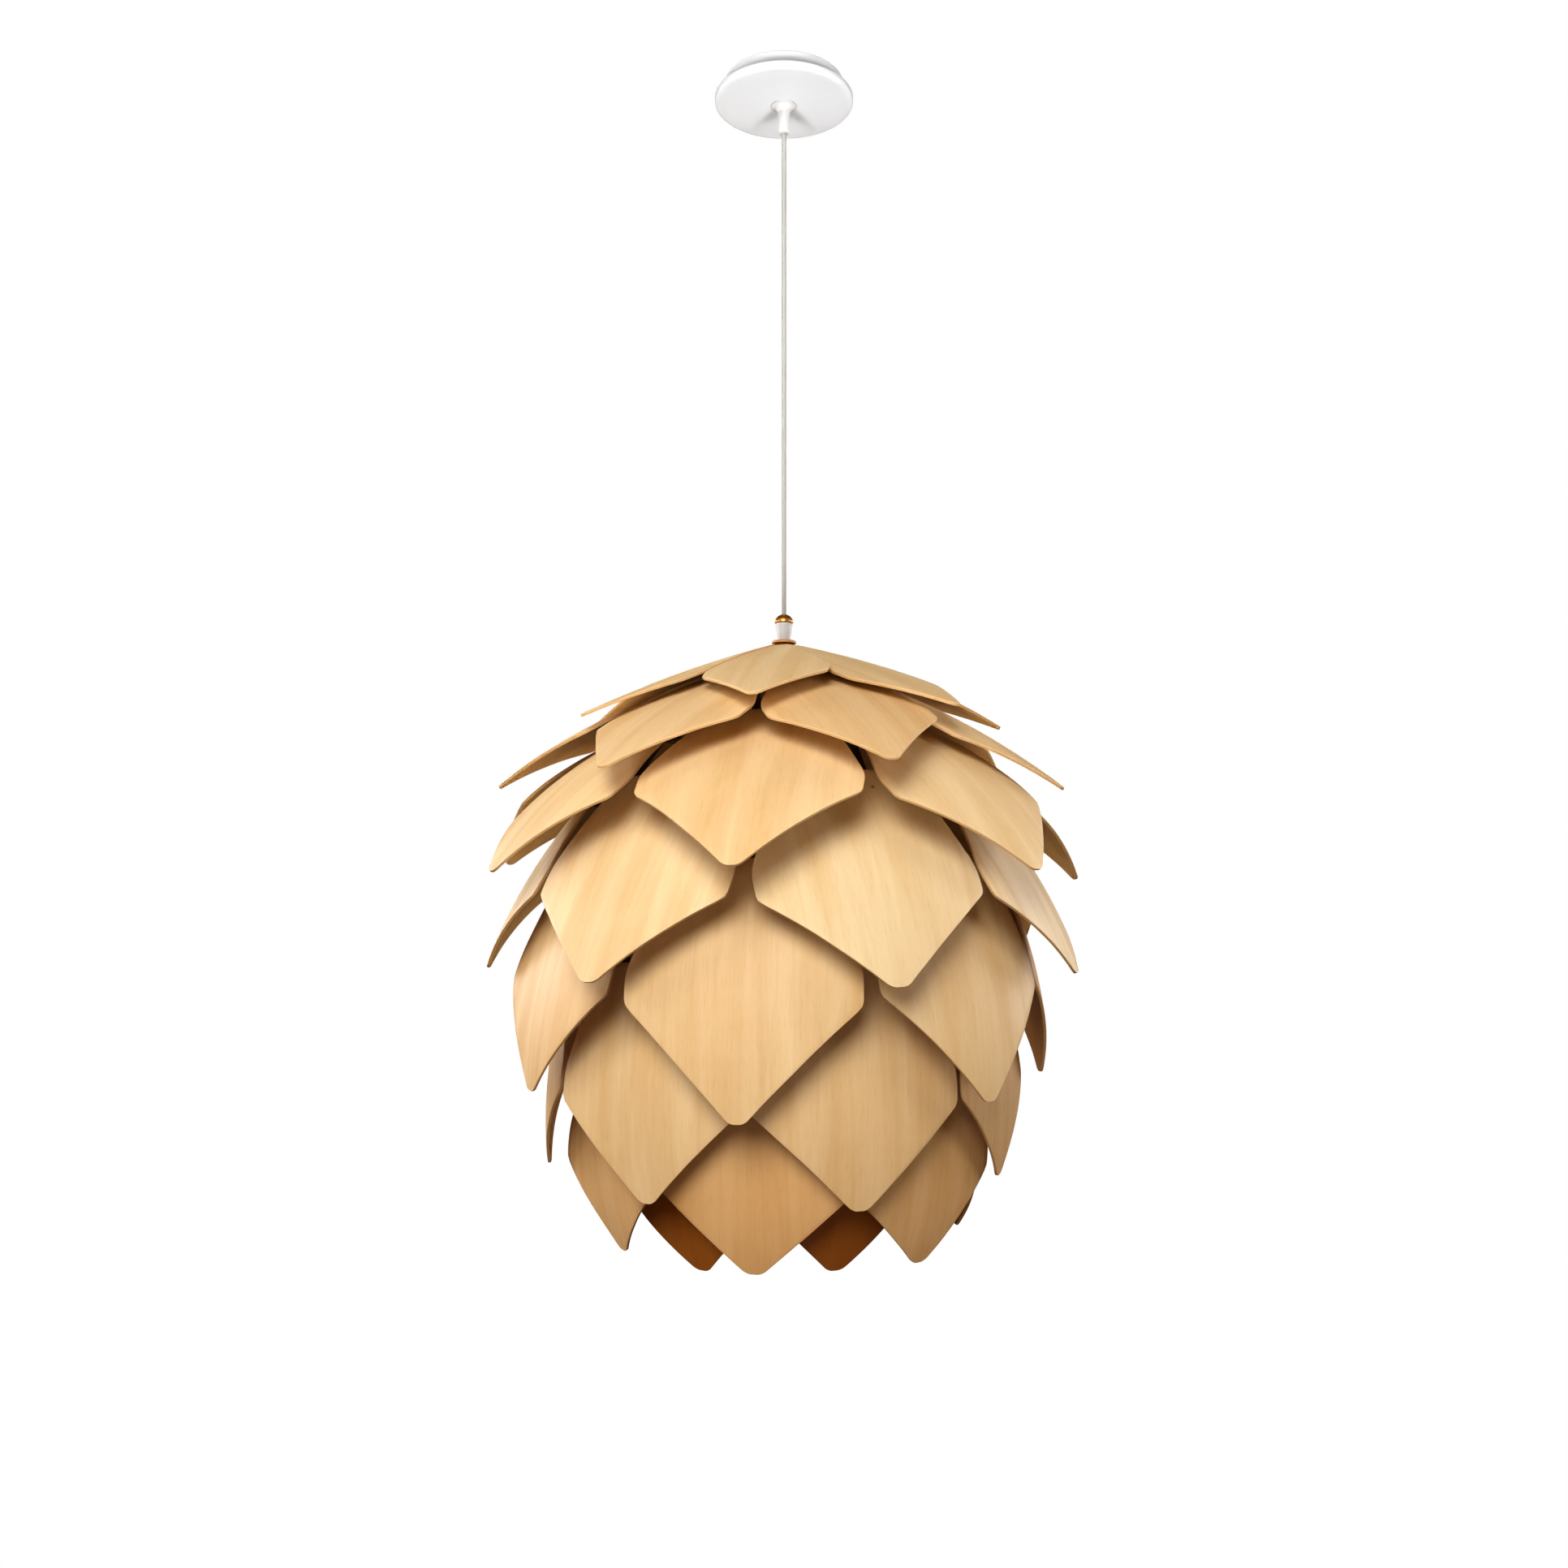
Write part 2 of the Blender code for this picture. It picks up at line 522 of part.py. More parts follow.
def main():
    for item in list(bpy.data.objects):
        bpy.data.objects.remove(item)
    wood = make_material("bent plywood", (0.68, 0.42, 0.17), 0.5)
    steel = make_material("zinc plated steel", (0.62, 0.62, 0.60), 0.35, 1.0)
    coated = make_material("brown powder coated steel", (0.050, 0.023, 0.009), 0.5)
    enamel = make_material("white powder coat", (0.80, 0.80, 0.79), 0.55)
    plastic = make_material("white moulded plastic", (0.82, 0.82, 0.80), 0.4)
    covering = make_material("white cord covering", (0.74, 0.74, 0.72), 0.6)
    brass = make_material("polished brass", (0.80, 0.55, 0.24), 0.2, 1.0)
    glass = make_material("opal glass", (0.86, 0.85, 0.80), 0.25)
    make_plate(steel)
    make_canopy(enamel)
    make_canopy_grip(plastic)
    hex_nut("canopy_nut", -CANOPY_HEIGHT + CANOPY_WALL + CLEARANCE + NUT_HEIGHT, steel)
    make_terminal(plastic)
    make_cord(covering)
    make_shade_grip(brass, plastic, wood)
    make_lamp(steel, plastic, glass)
    make_shade(wood, coated)


main()
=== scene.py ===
"""Pendant lamp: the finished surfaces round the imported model, in metres and +Z up.

The ceiling face is z = 0 and the lamp hangs on the z axis below it. The petals repeat the
formulas and the random draws of the part's source, on a much finer grid.
"""
import math
import random
from collections import namedtuple

import bmesh
import bpy
from mathutils import Matrix, Vector, noise


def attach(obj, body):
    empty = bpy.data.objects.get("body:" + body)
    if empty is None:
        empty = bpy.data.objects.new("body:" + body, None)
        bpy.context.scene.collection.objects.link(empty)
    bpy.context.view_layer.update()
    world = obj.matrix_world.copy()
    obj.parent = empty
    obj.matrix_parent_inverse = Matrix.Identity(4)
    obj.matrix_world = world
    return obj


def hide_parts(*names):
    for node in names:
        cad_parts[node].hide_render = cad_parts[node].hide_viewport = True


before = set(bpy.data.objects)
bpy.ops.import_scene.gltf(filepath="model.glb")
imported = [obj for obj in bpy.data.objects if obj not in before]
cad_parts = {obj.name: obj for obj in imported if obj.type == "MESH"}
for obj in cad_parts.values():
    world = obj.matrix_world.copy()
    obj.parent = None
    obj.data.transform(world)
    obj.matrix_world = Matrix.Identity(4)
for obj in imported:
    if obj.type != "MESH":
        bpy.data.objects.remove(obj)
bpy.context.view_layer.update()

# The photograph's viewpoint: eye level is a little above the shade's middle
EYE_DISTANCE = 1.2294
EYE_HEIGHT = -0.6704
LENS_MM = 33.54
SHIFT_UP = 0.0614

# Canopy against the ceiling
CLEARANCE = 0.0003
PLATE_RADIUS = 0.046
PLATE_THICKNESS = 0.002
WIRE_HOLE_RADIUS = 0.006
WIRE_HOLE_OFFSET = 0.024
COLLAR_RADIUS = 0.0495
RIM_RADIUS = 0.058
RIM_HEIGHT = 0.0062
CANOPY_HEIGHT = 0.0184
CANOPY_WALL = 0.0018
CANOPY_EDGE = 0.0012
CANOPY_FILLET = 0.0010
CANOPY_STEPS = 128
COLLAR_EDGE = 0.0005
BORE_RADIUS = 0.0052

# Cord and the grips at its two ends
CORD_DIAMETER = 0.0038
CORD_ENTRY = 0.003
CORD_POINTS = 24
CANOPY_GRIP_END = -0.0423
CANOPY_GRIP_FLARE = 0.0106
CANOPY_GRIP_NECK = 0.0048
CANOPY_GRIP_RIM = 0.0012
CANOPY_GRIP_SWEEP = 0.0076
CANOPY_GRIP_EDGE = 0.0004
STEM_RADIUS = 0.0049
STEM_SPARE = 0.001
CAP_TOP = -0.4467
CAP_BOTTOM = -0.4538
CAP_RADIUS = 0.0078
CAP_STEPS = 16
SHADE_GRIP_TOP_RADIUS = 0.0070
SHADE_GRIP_RADIUS = 0.0052
SHADE_GRIP_BOTTOM = -0.4685
SHADE_GRIP_EDGE = 0.0008
WASHER_RADIUS = 0.0102
WASHER_EDGE = 0.0012
WASHER_BOTTOM = -0.4713

# Shade
PETALS = 7
PLY = 0.0022
SHADE_TURN = -7.7
SIDE_EDGE = 0.024
CORNER_BLEND = 0.0035
TIP_CUT = 0.005
CAD_TIP_FLAT = 0.3
HOOP_DROP = 0.012
LEAN_SPREAD = 0.9
SWAY_SPREAD = 0.7
FIT_SEED = 11

# root, shoulder and tip are (radius, height) on a petal's middle line; the halves are
# half its width at root and shoulder; bow is the radius it is bent to across its width
Tier = namedtuple("Tier", "turn root shoulder tip root_half half bow roll")
TIERS = (
    Tier(0.6, (0.012, -0.4738), (0.1235, -0.5125), (0.186, -0.540), 0.0050, 0.049, 0.30, 2.5),
    Tier(0.7, (0.055, -0.4990), (0.1680, -0.5475), (0.238, -0.592), 0.0240, 0.067, 0.28, 1.5),
    Tier(0.8, (0.096, -0.5370), (0.2060, -0.6015), (0.259, -0.663), 0.0370, 0.083, 0.29, 1.0),
    Tier(-0.6, (0.150, -0.5880), (0.2140, -0.6750), (0.245, -0.744), 0.0540, 0.088, 0.25, 0.0),
    Tier(-1.1, (0.172, -0.6480), (0.2110, -0.7490), (0.222, -0.833), 0.0560, 0.087, 0.24, 0.0),
    Tier(-0.7, (0.172, -0.7280), (0.1900, -0.8330), (0.185, -0.906), 0.0540, 0.081, 0.22, 0.0),
    Tier(-0.8, (0.160, -0.8040), (0.1650, -0.9000), (0.149, -0.964), 0.0500, 0.077, 0.22, 2.2),
    Tier(1.0, (0.137, -0.8620), (0.1360, -0.9210), (0.119, -0.970), 0.0420, 0.058, 0.15, 0.0),
)

# How a petal sits out of line with its tier: degrees of lean out and of sway, metres that it
# hangs lower, and metres that its left (-) or right (+) side springs out at the shoulder
Fit = namedtuple("Fit", "lean sway slip spring", defaults=(0, 0, 0, 0))
ASKEW = {
    (1, 1): Fit(lean=1.5), (2, 1): Fit(lean=1.5), (2, 2): Fit(lean=-3.0), (2, 7): Fit(lean=1.5),
    (3, 1): Fit(lean=1.0, sway=-1.8), (3, 3): Fit(lean=-2.5), (3, 6): Fit(lean=2.0),
    (4, 1): Fit(sway=3.0), (5, 1): Fit(slip=0.007), (5, 7): Fit(spring=-0.010),
    (6, 1): Fit(slip=0.004), (6, 2): Fit(spring=0.010), (6, 6): Fit(lean=3.0),
    (6, 7): Fit(slip=0.004, spring=-0.010), (7, 7): Fit(spring=-0.016),
    (8, 6): Fit(slip=-0.014), (8, 7): Fit(slip=0.004, spring=-0.006),
}

# Painted shade: how pale each tier's sheets are drawn, from the top, set for how light falls on
# each tier (the lower, downward-facing tiers darker, the bottom tier darkest as in the shadow of
# the one above), and how much one petal may fall below that at random
TIER_PAINTED_SHADE = (1.0, 0.93, 0.92, 1.0, 0.90, 0.84, 0.74, 0.04)
TONE_SPREAD = 0.12

# How finely a petal is drawn, and how far its saw cut and its face wander
PETAL_COLUMNS = 20
ROW_STEP = 0.0045
TIP_ROWS = 8
TIP_FLAT = 0.22
PLY_EDGE_ROUND = 0.0002
SAW_WANDER = 0.0009
SAW_WANDER_LENGTH = 0.022
SAW_WANDER_FADE = 0.02
FACE_WANDER = 0.0005
FACE_WANDER_LENGTH = 0.07

# How far apart on the veneer two petals are cut from it
SHEET_STEP = Vector((0.31, 0.57))

# Cage of steel strip
STRIP_WIDTH = 0.010
STRIP_THICKNESS = 0.002
HOOP_GAP = 0.0012
WELD_DEPTH = 0.001
HUB_SLOPE = math.radians(17)
CONE_TOP = -0.4702
ROSETTE_RADIUS = 0.024
ROSETTE_THICKNESS = 0.003
ROSETTE_EDGE = 0.0004
HUB_RADIUS = 0.030
HUB_THICKNESS = 0.0025
CAGE_STEPS = 112
CAD_HOOP_STEPS = 28
STRIP_EDGE = 0.0004
RIVET_RADIUS = 0.0026
RIVET_DOME = 0.0009
RIVET_SPREAD = 0.018

# Lampholder and bulb. The holder's crown is the flat middle of its top, as a share of its
# radius, and the bowl starts that many radians above the bulb's widest ring.
TUBE_BORE = 0.0026
TUBE_BOTTOM = -0.489
TUBE_EDGE = 0.0003
BORE_STEPS = 48
NUT_TOP = -0.4790
NUT_HEIGHT = 0.0036
NUT_CORNER_RADIUS = 0.0084
NUT_CHAMFER = 0.0006
HOLDER_TOP = -0.4835
HOLDER_BOTTOM = -0.522
HOLDER_RADIUS = 0.0195
HOLDER_FLOOR = 0.008
HOLDER_SHOULDER = 0.012
HOLDER_CROWN = 0.6
SOCKET_GAP = 0.0004
GROOVES = 5
GROOVE_START = 0.0145
GROOVE_STEP = 0.0042
GROOVE_WIDTH = 0.0018
GROOVE_SLOPE = 0.0005
GROOVE_DEPTH = 0.0006
SCREW_SHELL_RADIUS = 0.0132
SCREW_SHELL_TOP = -0.4955
CONTACT_RADIUS = 0.006
CONTACT_SHOULDER = 0.009
CONTACT_DROP = 0.003
THREAD_DROP = 0.005
THREAD_TURNS = 7
THREAD_DEPTH = 0.0006
BULB_BOTTOM = -0.602
BULB_RADIUS = 0.030
BULB_NECK = ((0.0128, 0), (0.0150, 0.009), (0.0215, 0.024))
BOWL_START = 0.45
BOWL_STEPS = 24

# (inwards, upwards) of the eased lower corner of the canopy grip and of the lampholder
GRIP_EASE = ((0, 0.0012), (0.0003, 0.0004), (0.001, 0))
HOLDER_EASE = ((0, 0.001), (0.0004, 0.0002), (0.001, 0))

FINE_STEPS = 96
SMALL_STEPS = 64
SMALL_ROUND = 0.0002
RIM_ANGLE = math.radians(50)
STRIP_RIM_ANGLE = math.radians(60)

# Studio: a floor that starts behind the lamp and curves up into the backdrop
STAGE_FLOOR = -2.2
STAGE_FRONT = 1.2
STAGE_BACK = 2.6
STAGE_BEND = 1.0
STAGE_TOP = 2.0
STAGE_HALF_WIDTH = 2.3

# Round soft lights: each is aimed at a height on the lamp's axis, power is in watts and
# spread in degrees
Light = namedtuple("Light", "name place aim size power spread")
LIGHTS = (
    Light("key", (-0.4, -1.9, 0.32), -0.86, 1.3, 6.4, 60),
    Light("side_left", (-2.0, -0.6, 0.20), -0.8, 1.0, 1.5, 60),
    Light("side_right", (2.0, -0.6, 0.20), -0.8, 1.0, 1.3, 60),
    Light("rim_left", (-1.9, 1.1, -0.2), -0.75, 1.0, 3.2, 60),
    Light("rim_right", (1.9, 1.1, -0.2), -0.75, 1.0, 2.8, 60),
    Light("floor_bounce", (0.1, -1.6, -1.7), -0.88, 1.0, 0.4, 60),
    Light("canopy_fill", (-0.55, -0.9, -0.95), -0.02, 0.5, 0.66, 30),
    Light("canopy_fill", (0.55, -0.9, -0.95), -0.02, 0.5, 0.66, 30),
)
SKY_BELOW = 0.065
SKY_ABOVE = 0.16
VIEW_GAMMA = 0.88


def linear(code):
    """Linear RGBA of an sRGB hex colour."""
    parts = [int(code[i:i + 2], 16) / 255 for i in (1, 3, 5)]
    light = [c / 12.92 if c <= 0.04045 else ((c + 0.055) / 1.055) ** 2.4 for c in parts]
    return (*light, 1.0)


def add_node(tree, kind, links=None, **settings):
    """Adds a node with its properties set, and its sockets set or linked."""
    node = tree.nodes.new(kind)
    for key, value in settings.items():
        setattr(node, key, value)
    for socket, value in (links or {}).items():
        if isinstance(value, bpy.types.NodeSocket):
            tree.links.new(value, node.inputs[socket])
        else:
            node.inputs[socket].default_value = value
    return node


def new_material(name, colour, **sockets):
    """A Principled material; sockets are its uniform values, named as on the shader."""
    material = bpy.data.materials.new(name)
    material.use_nodes = True
    tree = material.node_tree
    shader = tree.nodes["Principled BSDF"]
    shader.inputs["Base Color"].default_value = linear(colour)
    for socket, value in sockets.items():
        shader.inputs[socket.replace("_", " ")].default_value = value
    return material, tree, shader


def plywood_face():
    """Birch plywood's face: rotary-cut veneer, sanded and sealed with a satin oil. It gives
    a honey colour with long soft figure, fine streaks along the petal and a few pin knots."""
    material, tree, shader = new_material("birch_veneer_oiled", "#E3C08C", Roughness=0.45,
                                          Specular_IOR_Level=0.3)
    uv = add_node(tree, "ShaderNodeUVMap", uv_map="across_along").outputs[0]

    # Sizes in millimetres across the grain and along it. The growth rings are peeled nearly
    # along their surface, which makes the broad figure, with streaks between the rings and a
    # cloudy flame across them. The vessels are 0.1 mm wide, and drawn wider so that they show.
    # There is a pin knot in some of the knots' cells.
    sizes = {"figure": (26, 240), "streaks": (5, 120), "vessels": (1.2, 14), "flame": (18, 30),
             "knots": (55, 80)}
    fitted = {}
    for pattern, (across_mm, along_mm) in sizes.items():
        scale = (1000 / across_mm, 1000 / along_mm, 1)
        fitted[pattern] = add_node(tree, "ShaderNodeMapping",
                                   {"Vector": uv, "Scale": scale}).outputs[0]
    figure = add_node(tree, "ShaderNodeTexNoise",
                      {"Vector": fitted["figure"], "Scale": 1, "Detail": 3, "Distortion": 0.6})
    streaks = add_node(tree, "ShaderNodeTexNoise",
                       {"Vector": fitted["streaks"], "Scale": 1, "Detail": 4,
                        "Distortion": 0.3})
    vessels = add_node(tree, "ShaderNodeTexNoise",
                       {"Vector": fitted["vessels"], "Scale": 1, "Detail": 2})
    flame = add_node(tree, "ShaderNodeTexNoise",
                     {"Vector": fitted["flame"], "Scale": 1, "Detail": 2})
    knots = add_node(tree, "ShaderNodeTexVoronoi", {"Vector": fitted["knots"], "Scale": 1})

    broad = add_node(tree, "ShaderNodeMapRange",
                     {"Value": figure.outputs[0], "From Min": 0.35, "From Max": 0.65})
    colour = add_node(tree, "ShaderNodeMix",
                      {0: broad.outputs[0], 6: linear("#E1C796"), 7: linear("#ECD9AF")},
                      data_type="RGBA")
    # Each is laid over the last: where it starts, where it is full, its share and its colour
    layers = ((streaks, 0.45, 0.75, 0.16, "#CA9F58"),
              (flame, 0.5, 0.75, 0.3, "#ECDAAC"),
              (vessels, 0.55, 0.8, 0.17, "#B58048"))
    for pattern, low, high, most, stain in layers:
        share = add_node(tree, "ShaderNodeMapRange",
                         {"Value": pattern.outputs[0], "From Min": low, "From Max": high,
                          "To Min": 0.0, "To Max": most})
        colour = add_node(tree, "ShaderNodeMix",
                          {0: share.outputs[0], 6: colour.outputs[2], 7: linear(stain)},
                          data_type="RGBA")
    pick = add_node(tree, "ShaderNodeSeparateColor", {"Color": knots.outputs["Color"]})
    few = add_node(tree, "ShaderNodeMath",
                   {0: pick.outputs[0], 1: 0.86}, operation="GREATER_THAN")
    near = add_node(tree, "ShaderNodeMapRange",
                    {"Value": knots.outputs["Distance"], "From Min": 0.03, "From Max": 0.07,
                     "To Min": 1.0, "To Max": 0.0}, interpolation_type="SMOOTHSTEP")
    knot = add_node(tree, "ShaderNodeMath", {0: few.outputs[0], 1: near.outputs[0]},
                    operation="MULTIPLY")
    colour = add_node(tree, "ShaderNodeMix",
                      {0: knot.outputs[0], 6: colour.outputs[2], 7: linear("#7A4A22")},
                      data_type="RGBA")
    # Each petal is cut from its own sheet, whose tone varies at random; on top of that the lower
    # tiers are painted redder and darker as painted shade, down to the ramp's dark end for the
    # bottom tier
    tone = add_node(tree, "ShaderNodeAttribute", attribute_name="sheet_tone_and_painted_shade")
    shade = add_node(tree, "ShaderNodeValToRGB", {"Fac": tone.outputs["Fac"]})
    stops = shade.color_ramp.elements
    stops[0].color = linear("#BA7C3A")
    stops[1].color = linear("#FFFFFF")
    stops.new(0.3).color = linear("#EFB04C")
    colour = add_node(tree, "ShaderNodeMix",
                      {0: 1.0, 6: colour.outputs[2], 7: shade.outputs[0]},
                      data_type="RGBA", blend_type="MULTIPLY")
    tree.links.new(colour.outputs[2], shader.inputs["Base Color"])

    gloss = add_node(tree, "ShaderNodeMapRange",
                     {"Value": streaks.outputs[0], "To Min": 0.46, "To Max": 0.58})
    tree.links.new(gloss.outputs[0], shader.inputs["Roughness"])
    relief = add_node(tree, "ShaderNodeMath", {0: vessels.outputs[0], 1: streaks.outputs[0]},
                      operation="ADD")
    bump = add_node(tree, "ShaderNodeBump",
                    {"Height": relief.outputs[0], "Strength": 0.12, "Distance": 0.0003})
    tree.links.new(bump.outputs[0], shader.inputs["Normal"])
    return material


def plywood_edge():
    """Sawn and sanded edge of three-ply birch: two thin brown glue lines between pale plies,
    the middle one end grain and darker."""
    material, tree, shader = new_material("birch_ply_edge", "#E6C48E", Roughness=0.62)
    uv = add_node(tree, "ShaderNodeUVMap", uv_map="across_along").outputs[0]
    axes = add_node(tree, "ShaderNodeSeparateXYZ", {"Vector": uv})
    # Distance from the middle of the sheet, as a share of half its thickness
    centred = add_node(tree, "ShaderNodeMath",
                       {0: axes.outputs[1], 1: PLY / 2}, operation="SUBTRACT")
    far = add_node(tree, "ShaderNodeMath", {0: centred.outputs[0]}, operation="ABSOLUTE")
    share = add_node(tree, "ShaderNodeMath",
                     {0: far.outputs[0], 1: PLY / 2}, operation="DIVIDE")
    core = add_node(tree, "ShaderNodeMath", {0: share.outputs[0], 1: 0.36}, operation="LESS_THAN")
    colour = add_node(tree, "ShaderNodeMix",
                      {0: core.outputs[0], 6: linear("#EDD0A0"), 7: linear("#DDB37A")},
                      data_type="RGBA")
    glue = add_node(tree, "ShaderNodeMath", {0: share.outputs[0], 1: 0.4, 2: 0.06},
                    operation="COMPARE")
    colour = add_node(tree, "ShaderNodeMix",
                      {0: glue.outputs[0], 6: colour.outputs[2], 7: linear("#BA8B52")},
                      data_type="RGBA")
    # Saw marks and sanding, 2.5 mm apart along the edge
    along = add_node(tree, "ShaderNodeMapping", {"Vector": uv, "Scale": (400, 0, 1)})
    marks = add_node(tree, "ShaderNodeTexNoise",
                     {"Vector": along.outputs[0], "Scale": 1, "Detail": 2})
    light = add_node(tree, "ShaderNodeMapRange",
                     {"Value": marks.outputs[0], "From Min": 0.3, "From Max": 0.7,
                      "To Min": 0.0, "To Max": 0.35})
    colour = add_node(tree, "ShaderNodeMix",
                      {0: light.outputs[0], 6: colour.outputs[2], 7: linear("#C99A5C")},
                      data_type="RGBA")
    tree.links.new(colour.outputs[2], shader.inputs["Base Color"])
    bump = add_node(tree, "ShaderNodeBump",
                    {"Height": marks.outputs[0], "Strength": 0.2, "Distance": 0.0002})
    tree.links.new(bump.outputs[0], shader.inputs["Normal"])
    return material


def turned_wood():
    """Birch turned to a washer and oiled: a darker brown than the petals, from end grain."""
    material, tree, shader = new_material("birch_turned_oiled", "#B98245", Roughness=0.45)
    place = add_node(tree, "ShaderNodeTexCoord").outputs["Object"]
    # Grain lines 1.5 mm apart, running across the washer
    scaled = add_node(tree, "ShaderNodeMapping", {"Vector": place, "Scale": (650, 60, 60)})
    grain = add_node(tree, "ShaderNodeTexNoise",
                     {"Vector": scaled.outputs[0], "Scale": 1, "Detail": 3})
    colour = add_node(tree, "ShaderNodeMix",
                      {0: grain.outputs[0], 6: linear("#B08042"), 7: linear("#D6A868")},
                      data_type="RGBA")
    tree.links.new(colour.outputs[2], shader.inputs["Base Color"])
    return material


def speckled(name, colour, other, grain_mm, depth_mm, strength, **sockets):
    """A coated or moulded surface: two near colours and a bump of the grain's real size."""
    material, tree, shader = new_material(name, colour, **sockets)
    place = add_node(tree, "ShaderNodeTexCoord").outputs["Object"]
    # Slow drift between the two colours, 40 mm across
    soft = add_node(tree, "ShaderNodeTexNoise", {"Vector": place, "Scale": 25, "Detail": 2})
    mix = add_node(tree, "ShaderNodeMix",
                   {0: soft.outputs[0], 6: linear(colour), 7: linear(other)}, data_type="RGBA")
    tree.links.new(mix.outputs[2], shader.inputs["Base Color"])
    grain = add_node(tree, "ShaderNodeTexNoise",
                     {"Vector": place, "Scale": 1000 / grain_mm, "Detail": 2})
    bump = add_node(tree, "ShaderNodeBump",
                    {"Height": grain.outputs[0], "Strength": strength,
                     "Distance": depth_mm / 1000})
    tree.links.new(bump.outputs[0], shader.inputs["Normal"])
    return material


def brushed(name, colour, other, roughness, step_mm):
    """Bare or plated metal with tool marks round the axis, step_mm apart."""
    material, tree, shader = new_material(name, colour, Metallic=1.0, Roughness=roughness)
    place = add_node(tree, "ShaderNodeTexCoord").outputs["Object"]
    scaled = add_node(tree, "ShaderNodeMapping",
                      {"Vector": place, "Scale": (30, 30, 1000 / step_mm)})
    marks = add_node(tree, "ShaderNodeTexNoise",
                     {"Vector": scaled.outputs[0], "Scale": 1, "Detail": 2})
    mix = add_node(tree, "ShaderNodeMix",
                   {0: marks.outputs[0], 6: linear(colour), 7: linear(other)}, data_type="RGBA")
    tree.links.new(mix.outputs[2], shader.inputs["Base Color"])
    gloss = add_node(tree, "ShaderNodeMapRange",
                     {"Value": marks.outputs[0], "To Min": roughness - 0.06,
                      "To Max": roughness + 0.08})
    tree.links.new(gloss.outputs[0], shader.inputs["Roughness"])
    return material


def opal_glass():
    """Opal glass of an unlit bulb: white with a soft skin of clear gloss over it."""
    material, tree, shader = new_material("opal_glass", "#EDECE6", Roughness=0.22, IOR=1.5)
    shader.inputs["Subsurface Weight"].default_value = 0.25
    shader.inputs["Subsurface Radius"].default_value = (0.004, 0.004, 0.004)
    place = add_node(tree, "ShaderNodeTexCoord").outputs["Object"]
    # Slow drift in the glass, 55 mm across
    drift = add_node(tree, "ShaderNodeTexNoise", {"Vector": place, "Scale": 18, "Detail": 1})
    mix = add_node(tree, "ShaderNodeMix",
                   {0: drift.outputs[0], 6: linear("#E8E6DE"), 7: linear("#F3F2EE")},
                   data_type="RGBA")
    tree.links.new(mix.outputs[2], shader.inputs["Base Color"])
    return material


def finish(name, bm, materials, slot, *nodes, smooth=35):
    """Writes a bmesh to a piece that rides on the lamp's one body in place of its CAD nodes."""
    mesh = bpy.data.meshes.new(name)
    bm.to_mesh(mesh)
    bm.free()
    for material in materials:
        mesh.materials.append(material)
    mesh.shade_smooth()
    mesh.set_sharp_from_angle(angle=math.radians(smooth))
    item = bpy.data.objects.new(name, mesh)
    bpy.context.scene.collection.objects.link(item)
    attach(item, "root")
    if nodes:
        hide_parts(*nodes)
    return item


def turned(outline, steps=FINE_STEPS, round_over=0.0):
    """A bmesh spun from a (radius, height) outline, with its sharp rims rounded over."""
    bm = bmesh.new()
    points = [bm.verts.new((radius, 0, height)) for radius, height in outline]
    edges = [bm.edges.new(pair) for pair in zip(points, points[1:])]
    if min(outline[0][0], outline[-1][0]) > 0:
        edges.append(bm.edges.new((points[-1], points[0])))
    bmesh.ops.spin(bm, geom=points + edges, cent=(0, 0, 0), axis=(0, 0, 1),
                   angle=math.tau, steps=steps, use_merge=True)
    bmesh.ops.remove_doubles(bm, verts=bm.verts, dist=1e-6)
    bmesh.ops.recalc_face_normals(bm, faces=bm.faces)
    if round_over:
        rims = [edge for edge in bm.edges if edge.calc_face_angle(0) > RIM_ANGLE]
        bmesh.ops.bevel(bm, geom=rims, offset=round_over, segments=3, profile=0.5,
                        affect="EDGES", material=-1)
    return bm


def quarter(steps):
    """Angles of a quarter turn in even steps, with both ends."""
    return [math.pi / 2 * i / steps for i in range(steps + 1)]


def eased_path(path, times):
    """A path with its corners cut off again and again, until it bends smoothly."""
    for _ in range(times):
        cut = [path[0]]
        for a, b in zip(path, path[1:]):
            cut += [a.lerp(b, 0.25), a.lerp(b, 0.75)]
        path = cut + [path[-1]]
    return path


def middle_line(tier, s):
    """Point and outward normal on a petal's middle line, s metres from its root."""
    root, shoulder, tip = Vector(tier.root), Vector(tier.shoulder), Vector(tier.tip)
    upper = (shoulder - root).length
    length = upper + (tip - shoulder).length
    t, m = s / length, upper / length
    weights = ((t - m) * (t - 1) / m, t * (t - 1) / (m * (m - 1)), t * (t - m) / (1 - m))
    slopes = ((2 * t - m - 1) / m, (2 * t - 1) / (m * (m - 1)), (2 * t - m) / (1 - m))
    point = sum((p * w for p, w in zip((root, shoulder, tip), weights)), Vector((0, 0)))
    along = sum((p * w for p, w in zip((root, shoulder, tip), slopes)), Vector((0, 0)))
    along.normalize()
    return point, Vector((-along.y, along.x))


def petal_length(tier):
    """A petal's length down to its shoulder, and its whole length."""
    root, shoulder, tip = Vector(tier.root), Vector(tier.shoulder), Vector(tier.tip)
    return (shoulder - root).length, (shoulder - root).length + (tip - shoulder).length


def blend_min(a, b):
    """The smaller of two widths, with the corner between them rounded."""
    h = max(CORNER_BLEND - abs(a - b), 0) / CORNER_BLEND
    return min(a, b) - h * h * CORNER_BLEND / 4


def tip_round(tier):
    """Radius of the rounded tip, and where its arc starts."""
    lower, length = petal_length(tier)
    angle = math.atan2(tier.half, length + TIP_CUT - lower)
    radius = TIP_CUT / (1 / math.sin(angle) - 1)
    return radius, length + TIP_CUT - radius * math.cos(angle) ** 2 / math.sin(angle)


